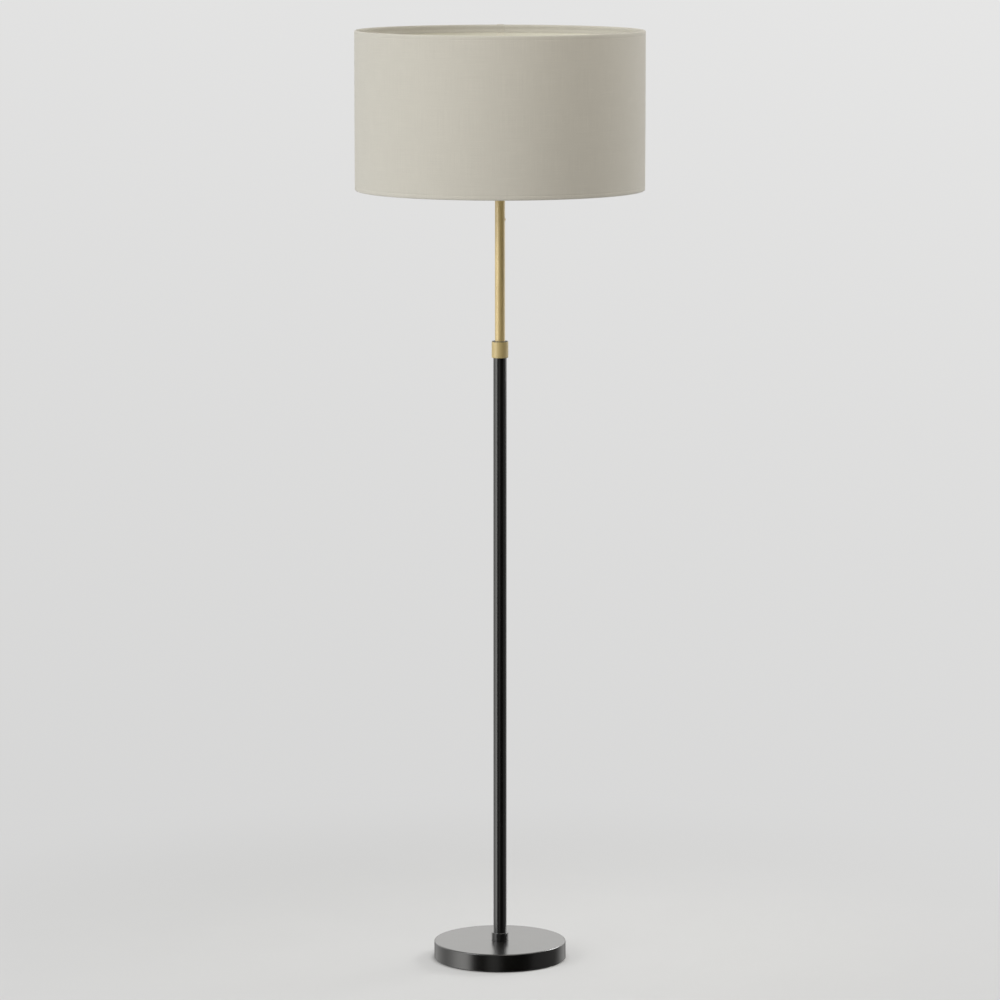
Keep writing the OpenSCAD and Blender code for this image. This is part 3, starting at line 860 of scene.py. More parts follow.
BLACK_SATIN = Lacquer("black_satin_lacquer", (0.0030, 0.0025, 0.0017), 0.28, ior=1.6, dust=0.003,
                      peel=0.0008 * MM, gloss_drift=0.02, coat=1.0, coat_roughness=0.22, coat_ior=1.6)
BRASS = Metal("satin_brass", (0.77, 0.605, 0.27), 0.74, line_gloss=0.06, metallic=0.75, coat=1.0,
              coat_roughness=0.36, coat_ior=2.0)
COLLAR_BRASS = Metal("satin_brass_collar", (0.71, 0.575, 0.27), 0.84, line_gloss=0.06, metallic=0.75,
                     coat=1.0, coat_roughness=0.40, coat_ior=1.8)
TURNED_BRASS = Metal("turned_brass", (0.83, 0.66, 0.34), 0.24, line_depth=0.010 * MM)
ZINC = Metal("zinc_plated_steel", (0.66, 0.68, 0.70), 0.30, grain=Grain.NONE, cloud=0.3)
NICKEL = Metal("nickelled_sheet", (0.70, 0.66, 0.60), 0.18, line_gloss=0.05)
SOLDER = Metal("dull_solder", (0.55, 0.56, 0.58), 0.45, grain=Grain.NONE, line_depth=0.03 * MM, cloud=0.35)
IRON = CastIron("cast_iron", (0.16, 0.16, 0.165), 0.55)
FELT = Fibre("black_felt", (0.022, 0.022, 0.023), 0.92, contrast=0.45, sheen=0.15, depth=0.2 * MM)
RUBBER = Lacquer("black_rubber", (0.02, 0.02, 0.02), 0.62, peel=0.012 * MM, peel_scale=1400.0, dust=0.12)
NYLON = Lacquer("black_nylon", (0.016, 0.016, 0.016), 0.42, peel=0.006 * MM, peel_scale=900.0, dust=0.06)
GUIDE_NYLON = Lacquer("grey_black_nylon", (0.060, 0.054, 0.045), 0.42, peel=0.006 * MM, peel_scale=900.0,
                      dust=0.06)
THERMOSET = Lacquer("black_thermoset", (0.015, 0.014, 0.013), 0.24, peel=0.003 * MM, coat=0.3, dust=0.04)
PORCELAIN = Lacquer("glazed_porcelain", (0.80, 0.79, 0.75), 0.16, peel=0.010 * MM, peel_scale=180.0,
                    coat=0.7, coat_roughness=0.06, dust=0.03)
GLASS_BLACK = Lacquer("black_glass", (0.01, 0.01, 0.012), 0.08, peel=0.008 * MM, peel_scale=250.0, dust=0.02)
OPAL = Opal("opal_glass", (0.88, 0.87, 0.84), 0.12)
WHITE_WIRE = Lacquer("white_powder_coat", (0.78, 0.77, 0.74), 0.42, peel=0.004 * MM, peel_scale=1300.0,
                     dust=0.02)
DRUM_CLOTH = Cloth("putty_drum_cloth", (0.60, 0.574, 0.505), 0.84)
LINER = Fibre("liner_board", (0.74, 0.72, 0.62), 0.60, fibre=(500.0, 500.0, 500.0), depth=0.01 * MM,
              contrast=0.04)
TAPE = Fibre("paper_tape", (0.77, 0.74, 0.64), 0.70, fibre=(2600.0, 2600.0, 300.0), depth=0.03 * MM,
             contrast=0.12)


# ---------- what repeats or follows a rule ----------


class GrowthGraph(Graph):
    """A geometry tree with named inputs, which ends in Realize Instances and Set Material.

    Points nearer to the axis than AXIS aren't moved in full, so that nothing is divided by zero.
    """

    AXIS = 0.1 * MM

    def __init__(self, name: str, sizes: Sequence[str], counts: Sequence[str] = ()) -> None:
        """Makes the tree and its inputs.

        Args:
            name: The tree's name.
            sizes: The names of its inputs that are lengths.
            counts: The names of its inputs that are whole numbers.
        """
        super().__init__(bpy.data.node_groups.new(name, "GeometryNodeTree"))
        face = self.tree.interface
        face.new_socket(name="Geometry", in_out="OUTPUT", socket_type="NodeSocketGeometry")
        for kind, names in (("Geometry", ["Geometry"]), ("Float", sizes), ("Int", counts),
                            ("Material", ["Finish"])):
            for label in names:
                face.new_socket(name=label, in_out="INPUT", socket_type=f"NodeSocket{kind}")
        self.given = {socket.name: Value(self, socket) for socket in self.add("NodeGroupInput").outputs}

    def polar(self) -> tuple[Value, Value, Value, Value]:
        """Reads where each point is.

        Returns:
            Its angle, its radius, its height and its position.
        """
        position = self.value("GeometryNodeInputPosition")
        x, y, z = self.split(position)
        return self.math("ARCTAN2", y, x), self.math("SQRT", x * x + y * y), z, position

    def shrunk(self, radius: Value, fall: Value, position: Value) -> Value:
        """The given geometry, its points moved towards the axis.

        Args:
            radius: The points' radius.
            fall: How far they move.
            position: Where they are.

        Returns:
            The geometry.
        """
        share = (radius - fall) / self.math("MAXIMUM", radius, self.AXIS)
        moved = self.vector("MULTIPLY", position, self.joined(share, share, 1.0))
        return self.value("GeometryNodeSetPosition", {"Geometry": self.given["Geometry"], "Position": moved})

    def joint(self, parts: Sequence[Value]) -> Value:
        """Several geometries as one.

        Args:
            parts: The geometries.

        Returns:
            All of them.
        """
        whole = self.add("GeometryNodeJoinGeometry")
        for part in parts:
            self.feed(whole.inputs[0], part)
        return Value(self, whole.outputs[0])

    def end(self, geometry: Value) -> Tree:
        """Ends the tree.

        Args:
            geometry: What it makes.

        Returns:
            The tree.
        """
        real = self.value("GeometryNodeRealizeInstances", {"Geometry": geometry})
        painted = self.value("GeometryNodeSetMaterial", {"Geometry": real, "Material": self.given["Finish"]})
        self.add("NodeGroupOutput", {"Geometry": painted})
        return self.tree


def grown(piece: Piece, tree: Tree, finish: Finish, **sizes: float) -> Piece:
    """Runs a geometry tree on a piece and keeps the result as its plain mesh.

    Args:
        piece: The piece, whose mesh goes in.
        tree: The tree.
        finish: The finish of the result.
        **sizes: The tree's inputs, by name, with _ for a space.

    Returns:
        The piece.
    """
    modifier = piece.modifiers.new("grown", "NODES")
    modifier.node_group = tree
    known = {item.name: item.identifier for item in tree.interface.items_tree if item.in_out == "INPUT"}
    for label, value in sizes.items():
        modifier[known[label.replace("_", " ")]] = value
    modifier[known["Finish"]] = finish.make()
    return smoothed(settled(piece))


class ThreadForm(Enum):
    """The shape of a thread's flank: cut with a tool, or rolled round as on a lamp cap."""

    CUT = "cut"
    ROLLED = "rolled"


@dataclass(frozen=True)
class Thread:
    """A screw thread."""

    pitch: float
    depth: float
    form: ThreadForm = ThreadForm.CUT

    def cut(self, blank: Piece, finish: Finish, skin: float, foot: float, head: float) -> Piece:
        """Cuts the thread into a turned blank.

        Args:
            blank: The blank.
            finish: The finish of the result.
            skin: The radius beyond which the blank's points move.
            foot: The height where the thread begins.
            head: The height where it ends.

        Returns:
            The threaded piece.
        """
        return grown(blank, thread_tree(self.form), finish, Skin_Radius=skin, Depth=self.depth,
                     Pitch=self.pitch, Foot=foot, Head=head)


def thread_tree(form: ThreadForm) -> Tree:
    """A tree that cuts a screw thread into the skin of a turned piece.

    Points farther out than the skin's inner radius move in by the thread's depth at their place on
    the helix, and the thread runs out over one pitch at both ends.

    Args:
        form: The shape of its flank.

    Returns:
        The tree.
    """
    graph = GrowthGraph(f"{form.value}_thread", ("Skin Radius", "Depth", "Pitch", "Foot", "Head"))
    angle, radius, height, position = graph.polar()
    pitch, foot, head = (graph.given[name] for name in ("Pitch", "Foot", "Head"))
    phase = graph.math("FRACT", height / pitch - angle / math.tau)
    if form is ThreadForm.CUT:
        valley = 1.0 - abs(phase * 2.0 - 1.0)
    else:
        valley = (1.0 - graph.math("COSINE", phase * math.tau)) * 0.5
    run_in = graph.spread(height, foot, foot + pitch, smooth=True)
    run_out = graph.spread(height, head - pitch, head, 1.0, 0.0, smooth=True)
    skin = graph.math("GREATER_THAN", radius, graph.given["Skin Radius"])
    fall = graph.given["Depth"] * valley * run_in * run_out * skin
    return graph.end(graph.shrunk(radius, fall, position))


def scallop_tree(deepest: float = 4 * MM, full: float = 1 * MM) -> Tree:
    """A tree that presses round finger scallops into the rim of a turned ring.

    Args:
        deepest: How far from the rim the ring's points begin to move.
        full: How far from the rim they move in full.

    Returns:
        The tree.
    """
    names = ("Rim Radius", "Cutter Radius", "Depth", "Count")
    graph = GrowthGraph("finger_scallops", names[:3], names[3:])
    rim, cutter, depth, count = (graph.given[name] for name in names)
    angle, radius, _, position = graph.polar()
    sector = math.tau / count
    local = (graph.math("FRACT", angle / sector + 0.5) - 0.5) * sector
    centre = rim + cutter - depth
    side = centre * graph.math("SINE", local)
    inside = graph.math("MAXIMUM", cutter * cutter - side * side, 0.0)
    met = graph.math("LESS_THAN", abs(side), cutter)
    reach = centre * graph.math("COSINE", local) - graph.math("SQRT", inside)
    fall = graph.math("MAXIMUM", rim - reach, 0.0) * met
    share = graph.spread(radius, rim - deepest, rim - full)
    return graph.end(graph.shrunk(radius, fall * share, position))


def carrier_tree() -> Tree:
    """A tree that adds the rim wire, the arms and their weld beads to a hub plate.

    Returns:
        The tree.
    """
    sizes = ("Rim Radius", "Rim Height", "Hub Radius", "Hub Height", "Rim Wire", "Arm Wire", "Bead")
    graph = GrowthGraph("wire_carrier", sizes, ("Arms",))
    given = graph.given

    def wire(curve: Value, radius: Value) -> Value:
        """A wire round a curve."""
        inputs = {"Curve": curve, "Profile Curve": ring(radius, 20), "Fill Caps": True}
        return graph.value("GeometryNodeCurveToMesh", inputs)

    def bead(place: Value) -> Value:
        """A small weld bead at a place.

        Args:
            place: Where it sits.

        Returns:
            The bead.
        """
        ball = graph.value("GeometryNodeMeshIcoSphere", {"Radius": given["Bead"], "Subdivisions": 3})
        inputs = {"Geometry": ball, "Translation": place, "Scale": (1.2, 0.9, 0.8)}
        return graph.value("GeometryNodeTransform", inputs)

    def ring(radius: Value, sides: int) -> Value:
        """A circle about the Z axis."""
        return graph.value("GeometryNodeCurvePrimitiveCircle", {"Resolution": sides, "Radius": radius})

    rise = graph.joined(0.0, 0.0, given["Rim Height"])
    circle = {"Geometry": ring(given["Rim Radius"], 288), "Translation": rise}
    lifted = graph.value("GeometryNodeTransform", circle)
    at_rim = graph.joined(given["Rim Radius"], 0.0, given["Rim Height"])
    at_hub = graph.joined(given["Hub Radius"], 0.0, given["Hub Height"])
    line = graph.value("GeometryNodeCurvePrimitiveLine", {"Start": at_rim, "End": at_hub})
    arm = graph.joint((wire(line, given["Arm Wire"]), bead(at_rim), bead(at_hub)))
    points = graph.value("GeometryNodePoints", {"Count": given["Arms"]})
    turn = graph.value("GeometryNodeInputIndex") * (math.tau / given["Arms"])
    rotation = graph.joined(0.0, 0.0, turn + math.pi / 2)
    placing = {"Points": points, "Instance": arm, "Rotation": rotation}
    arms = graph.value("GeometryNodeInstanceOnPoints", placing)
    return graph.end(graph.joint((given["Geometry"], wire(lifted, given["Rim Wire"]), arms)))


# ---------- sub-assemblies ----------


@dataclass
class SubAssembly:
    """Pieces that belong together on the bench, and the finish of each node that they stand for."""

    FINISHES: ClassVar[dict[str, Finish]] = {}
    pieces: dict[str, Piece] = field(default_factory=dict, init=False)

    def build(self) -> None:
        """Builds the meshes."""
        raise NotImplementedError

    def dress(self) -> None:
        """Gives each piece and each carried-over node its finish."""
        for node, finish in self.FINISHES.items():
            self.finish(node, finish)

    def fit(self, node: str, piece: Piece) -> None:
        """Keeps a built piece under the name of the node that it stands for."""
        self.pieces[node] = piece

    def finish(self, node: str, finish: Finish) -> None:
        """Dresses what stands for a node, or the node itself, and lets it ride on the node's body.

        Args:
            node: The node's name.
            finish: The finish that it gets.
        """
        piece = self.pieces.get(node)
        shown = piece or frame["nodes"][node]
        shown.data.materials.clear()
        shown.data.materials.append(finish.make())
        if piece:
            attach(piece, body_of(node))
            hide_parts(node)
        triangles = sum(len(face.vertices) - 2 for face in shown.data.polygons)
        log.info("%-22s %-20s %7d triangles on %s", shown.name, finish.name, triangles, body_of(node))


@dataclass
class Base(SubAssembly):
    """Pressed cover over an iron weight, its through bolt, the felt pad and the ferrule."""

    FINISHES = {
        "base_cover": BLACK_SATIN, "base_ferrule": BLACK_SATIN, "base_weight": IRON, "base_pad": FELT,
        "base_stud": ZINC, "base_washer": ZINC, "base_lock_washer": ZINC, "base_nut": ZINC,
    }
    wall: float = 1.6 * MM
    top_edge: float = 2.4 * MM
    foot_edge: float = 0.6 * MM
    inlet_room: float = 0.05 * MM
    pad_edge: float = 0.7 * MM
    fuzz: float = 0.12 * MM
    ferrule_edge: float = 0.9 * MM
    ferrule_gap: float = 1.1 * MM
    ferrule_foot: float = 0.3 * MM
    stud_thread: Thread = Thread(1.0 * MM, 0.55 * MM)
    nut_chamfer: float = 0.6 * MM

    def build(self) -> None:
        """Builds the cover, the pad, the stud, the nut and the ferrule."""
        self.fit("base_cover", self.cover())
        self.fit("base_pad", self.pad())
        self.fit("base_stud", threaded_stud("base_through_stud", "base_stud", self.stud_thread))
        self.fit("base_nut", hexagon_nut("base_clamp_nut", "base_nut", self.nut_chamfer))
        self.fit("base_ferrule", self.ferrule())

    def cover(self) -> Piece:
        """The cover, with the hole for the cord inlet in its rear wall.

        Returns:
            The cover.
        """
        size = span("base_cover")
        inside = size.radius - self.wall
        outline = rounded([
            Corner(size.bore, size.high),
            Corner(size.radius, size.high, self.top_edge),
            Corner(size.radius, size.low, self.foot_edge),
            Corner(inside, size.low),
            Corner(inside, size.high - self.wall, self.top_edge - self.wall),
            Corner(size.bore, size.high - self.wall),
        ])
        shell = turned("base_cover_shell", outline, 288)
        inlet = Inlet.measured()
        drill = turned("drill", tube(Span(0, inlet.neck + self.inlet_room, 0, size.radius)), 64)
        return cut_by(shell, inlet.laid(drill, self.wall))

    def pad(self) -> Piece:
        """The felt pad, with a soft edge and a little fuzz on it.

        Returns:
            The pad.
        """
        size = span("base_pad")
        felt = turned("felt_base_pad", tube(replace(size, bore=0.0), self.pad_edge, 0.0), 240, 12 * MM)
        draw = np.random.default_rng(7)
        for vertex in felt.data.vertices:
            reach = math.hypot(vertex.co.x, vertex.co.y)
            if reach > size.radius - self.pad_edge:
                back = 1 - draw.random() * self.fuzz / reach
                vertex.co.x *= back
                vertex.co.y *= back
        return felt

    def ferrule(self) -> Piece:
        """The ring round the pole's foot.

        Returns:
            The ferrule.
        """
        size = span("base_ferrule")
        return turned("pole_foot_ferrule", rounded([
            Corner(size.bore, size.low), Corner(size.radius - self.ferrule_gap, size.low),
            Corner(size.radius - self.ferrule_gap, size.low + self.ferrule_gap),
            Corner(size.radius, size.low + self.ferrule_gap, self.ferrule_foot),
            Corner(size.radius, size.high, self.ferrule_edge),
            Corner(size.bore, size.high, self.ferrule_foot),
        ]), 128)

    def dress(self) -> None:
        """Gives the base its finishes, and measures its felt pad."""
        super().dress()
        pad, size = self.pieces["base_pad"], span("base_pad")
        2 * size.radius
        2 * size.radius
        math.pi * size.radius ** 2


def threaded_stud(name: str, node: str, thread: Thread) -> Piece:
    """A hollow plated stud, threaded from end to end.

    Args:
        name: The piece's name.
        node: The node that it stands for.
        thread: Its thread.

    Returns:
        The stud.
    """
    size = span(node)
    blank = turned(name, tube(size, thread.depth / 2, 0.0), 48, thread.pitch / 6)
    return thread.cut(blank, ZINC, size.radius - thread.depth, size.low, size.high)


def hexagon_nut(name: str, node: str, chamfer: float) -> Piece:
    """A nut with chamfered corners, where a node has its plain one.

    Args:
        name: The piece's name.
        node: The node that it stands for.
        chamfer: How far the corners are turned down.

    Returns:
        The nut.
    """
    size = span(node)
    round_blank = turned(name, [
        (size.bore, size.low), (size.radius - chamfer, size.low), (size.radius, size.low + chamfer / 2),
        (size.radius, size.high - chamfer / 2), (size.radius - chamfer, size.high), (size.bore, size.high),
    ], 96)
    corners = [math.tau * i / 6 for i in range(6)]
    low, high = size.low - chamfer, size.high + chamfer
    points = [(size.radius * math.cos(a), size.radius * math.sin(a), z)
              for z in (low, high) for a in corners]
    sides = [(i, (i + 1) % 6, (i + 1) % 6 + 6, i + 6) for i in range(6)]
    hexagon = close_up(mesh_object("hexagon", points, [tuple(range(6)), tuple(range(6, 12)), *sides]))
    return cut_by(round_blank, hexagon, "INTERSECT")


@dataclass(frozen=True)
class Inlet:
    """Where the cord inlet sits in the rear of the base, measured on its node.

    RIM is how far in from the flange's edge all points belong to its rounded rim.
    """

    RIM: ClassVar[float] = 1.7 * MM
    height: float
    neck: float
    flange: float
    inner: float
    outer: float

    @classmethod
    def measured(cls) -> "Inlet":
        """Measures the grommet about its own axis, which runs along Y.

        Returns:
            Its place and sizes.
        """
        low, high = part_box("cord_grommet")
        height = (low.z + high.z) / 2
        places = [vertex.co for vertex in frame["nodes"]["cord_grommet"].data.vertices]
        radii = {round(math.hypot(place.x, place.z - height), 5) for place in places}
        flange = max(radii)
        neck = max(radius for radius in radii if radius < flange - cls.RIM)
        return cls(height, neck, flange, low.y, high.y)

    def laid(self, piece: Piece, along: float = 0.0) -> Piece:
        """Lays a piece that was turned about Z on the inlet's own axis, at a distance along it."""
        turn = Matrix.Rotation(-math.pi / 2, 4, "X")
        return placed(piece, Matrix.Translation((0, along, self.height)) @ turn)


@dataclass
class CordInlet(SubAssembly):
    """The rubber grommet that a flex passes through."""

    FINISHES = {
        "cord_grommet": RUBBER,
    }
    bore: float = 3.5 * MM
    flange: float = 1.6 * MM
    lip: float = 0.8 * MM
    mouth: float = 0.5 * MM

    def build(self) -> None:
        """Builds the grommet, its mouth rounded at both ends."""
        inlet = Inlet.measured()
        outline = rounded([
            Corner(self.bore, inlet.inner, self.mouth),
            Corner(inlet.flange, inlet.inner, self.mouth),
            Corner(inlet.flange, inlet.inner + self.flange, self.mouth),
            Corner(inlet.neck, inlet.inner + self.flange),
            Corner(inlet.neck, inlet.outer - self.flange),
            Corner(inlet.flange, inlet.outer - self.flange),
            Corner(inlet.flange, inlet.outer, self.lip),
            Corner(self.bore, inlet.outer, self.mouth),
        ])
        self.fit("cord_grommet", inlet.laid(turned("cord_inlet_grommet", outline, 72)))


@dataclass
class Pole(SubAssembly):
    """The black outer tube with the plug in its foot."""

    FINISHES = {
        "pole": BLACK_SATIN, "pole_plug": ZINC,
    }
    edge: float = 0.3 * MM

    def build(self) -> None:
        """Builds the tube and the plug."""
        for node, name in (("pole", "black_pole_tube"), ("pole_plug", "pole_foot_plug")):
            self.fit(node, turned(name, tube(span(node), self.edge), 128, 0.12))


@dataclass
class Lock(SubAssembly):
    """Sleeve, split collet, twist collar and the collar's black ring."""

    FINISHES = {
        "pole_sleeve": TURNED_BRASS, "lock_collet": NYLON, "lock_collar": COLLAR_BRASS,
        "collar_bush": GUIDE_NYLON,
    }
    play: float = 0.3 * MM
    seat: float = 0.05 * MM
    thread: Thread = Thread(1.0 * MM, 0.5 * MM)
    collet_taper: float = 1.4 * MM
    collet_slit: float = 1.6 * MM
    collar_top_edge: float = 0.6 * MM
    collar_foot_edge: float = 1.2 * MM
    thread_runout: float = 1.5 * MM
    spigot_wall: float = 2.0 * MM
    flange: float = 1.2 * MM
    flange_edge: float = 0.4 * MM
    flange_foot_edge: float = 0.15 * MM

    def build(self) -> None:
        """Builds the four turned pieces, from inside to outside."""
        pole, sleeve, collet = span("pole"), span("pole_sleeve"), span("lock_collet")
        self.fit("pole_sleeve", self.sleeve(pole, sleeve))
        self.fit("lock_collet", self.collet(collet))
        self.fit("lock_collar", self.collar(pole, sleeve, collet))
        self.fit("collar_bush", self.bush(span("collar_bush")))

    def sleeve(self, pole: Span, sleeve: Span) -> Piece:
        """The threaded guide in the pole's top.

        Args:
            pole: The pole's measures.
            sleeve: The sleeve's measures.

        Returns:
            The sleeve.
        """
        inside = pole.bore - self.seat
        blank = turned("pole_top_sleeve", rounded([
            Corner(sleeve.bore, sleeve.low, EDGE), Corner(inside, sleeve.low, BOLD_EDGE),
            Corner(inside, pole.high), Corner(sleeve.radius, pole.high),
            Corner(sleeve.radius, sleeve.high, BOLD_EDGE), Corner(sleeve.bore, sleeve.high, EDGE),
        ]), 72, self.thread.pitch / 5)
        skin = sleeve.radius - self.thread.depth
        return self.thread.cut(blank, TURNED_BRASS, skin, pole.high, sleeve.high)

    def collet(self, collet: Span) -> Piece:
        """The tapered ring, slit at the front so that it can close.

        Args:
            collet: The collet's measures.

        Returns:
            The collet.
        """
        top = collet.radius - self.collet_taper
        ring = turned("split_collet", rounded([
            Corner(collet.bore, collet.low), Corner(collet.radius, collet.low, EDGE),
            Corner(top, collet.high, EDGE), Corner(collet.bore, collet.high),
        ]), 96)
        half = self.collet_slit / 2
        return cut_by(ring, block("saw", (-half, -2 * collet.radius, collet.low - half),
                                  (half, 0, collet.high + half)))

    def collar(self, pole: Span, sleeve: Span, collet: Span) -> Piece:
        """The brass collar, with its skirt, thread, cone and seat for the black ring.

        Args:
            pole: The pole's measures.
            sleeve: The sleeve's measures.
            collet: The collet's measures.

        Returns:
            The collar.
        """
        size, bush = span("lock_collar"), span("collar_bush")
        skirt = pole.radius + self.play
        thread = sleeve.radius + self.seat
        spigot = bush.bore + self.spigot_wall + self.seat
        cone_top = collet.high + self.play
        return turned("brass_twist_collar", rounded([
            Corner(skirt, size.low, EDGE),
            Corner(size.radius, size.low, self.collar_foot_edge),
            Corner(size.radius, size.high, self.collar_top_edge),
            Corner(spigot, size.high),
            Corner(spigot, cone_top),
            Corner(collet.radius - self.collet_taper + self.play, cone_top),
            Corner(collet.radius + self.play, collet.low + self.play),
            Corner(thread, collet.low + self.play),
            Corner(thread, pole.high - self.thread_runout),
            Corner(skirt, pole.high - self.thread_runout),
        ]), 160)

    def bush(self, size: Span) -> Piece:
        """The black ring that guides the mast.

        Args:
            size: The ring's measures.

        Returns:
            The ring.
        """
        flange_foot = size.high - self.flange
        return turned("collar_guide_ring", rounded([
            Corner(size.bore, size.low, FINE_EDGE),
            Corner(size.bore + self.spigot_wall, size.low, EDGE),
            Corner(size.bore + self.spigot_wall, flange_foot),
            Corner(size.radius, flange_foot, self.flange_foot_edge),
            Corner(size.radius, size.high, self.flange_edge),
            Corner(size.bore, size.high, FINE_EDGE),
        ]), 128)


@dataclass
class Mast(SubAssembly):
    """The brass inner tube with its glide, clips, stop screw and plug."""

    FINISHES = {
        "mast_tube": BRASS, "stop_screw": BRASS, "mast_plug": TURNED_BRASS, "mast_glide": NYLON,
        "glide_clips": ZINC,
    }
    edge: float = 0.25 * MM
    groove_depth: float = 0.4 * MM
    clip_height: float = 1.2 * MM
    clip_room: float = 0.05 * MM
    glide_edge: float = 0.6 * MM
    plug_edge: float = 0.5 * MM
    screw_shank: float = 1.5 * MM
    slot_width: float = 1.0 * MM
    slot_share: float = 0.55

    def build(self) -> None:
        """Builds the tube, the glide, the plug and the stop screw."""
        self.fit("mast_tube", self.tube())
        glide = tube(span("mast_glide"), self.glide_edge, FINE_EDGE)
        self.fit("mast_glide", turned("mast_foot_glide", glide, 128))
        self.fit("mast_plug", self.plug())
        self.fit("stop_screw", self.screw())

    def tube(self) -> Piece:
        """The mast, with a groove for each clip.

        Returns:
            The tube.
        """
        size, clips = span("mast_tube"), span("glide_clips")
        corners = [Corner(size.bore, size.low, self.edge), Corner(size.radius, size.low, self.edge)]
        for foot in (clips.low, clips.high - self.clip_height):
            low, high = foot - self.clip_room, foot + self.clip_height + self.clip_room
            floor = size.radius - self.groove_depth
            corners += [Corner(size.radius, low), Corner(floor, low),
                        Corner(floor, high), Corner(size.radius, high)]
        corners += [Corner(size.radius, size.high, self.edge), Corner(size.bore, size.high, self.edge)]
        return turned("brass_mast_tube", rounded(corners), 160, 0.06)

    def plug(self) -> Piece:
        """The plug that closes the mast's top and takes the nipple.

        Returns:
            The plug.
        """
        size, tube = span("mast_plug"), span("mast_tube")
        return turned("mast_top_plug", rounded([
            Corner(size.bore, size.low), Corner(tube.bore - self.clip_room, size.low, BOLD_EDGE),
            Corner(tube.bore - self.clip_room, tube.high), Corner(size.radius, tube.high),
            Corner(size.radius, size.high, self.plug_edge), Corner(size.bore, size.high, EDGE),
        ]), 96)

    def screw(self) -> Piece:
        """The round-headed stop screw, which looks out to the right.

        Returns:
            The screw.
        """
        low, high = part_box("stop_screw")
        face = span("mast_tube").radius + self.clip_room
        head = high.x - face
        radius = (high.y - low.y) / 2
        dome = (radius ** 2 + head ** 2) / (2 * head)
        crown = arc((0.0, head - dome), dome, math.asin((dome - head) / dome), math.pi / 2)
        tip = low.x - face
        outline = [(0.0, tip), (self.screw_shank, tip), (self.screw_shank, 0.0), (radius, 0.0),
                   *crown[:-1], (0.0, head)]
        screw = turned("brass_stop_screw", outline, 64)
        half = self.slot_width / 2
        slot_floor = head * self.slot_share
        cut_by(screw, block("slot", (-2 * radius, -half, slot_floor), (2 * radius, half, 2 * head)))
        middle = (low.z + high.z) / 2
        return placed(screw, Matrix.Translation((face, 0, middle)) @ Matrix.Rotation(math.pi / 2, 4, "Y"))


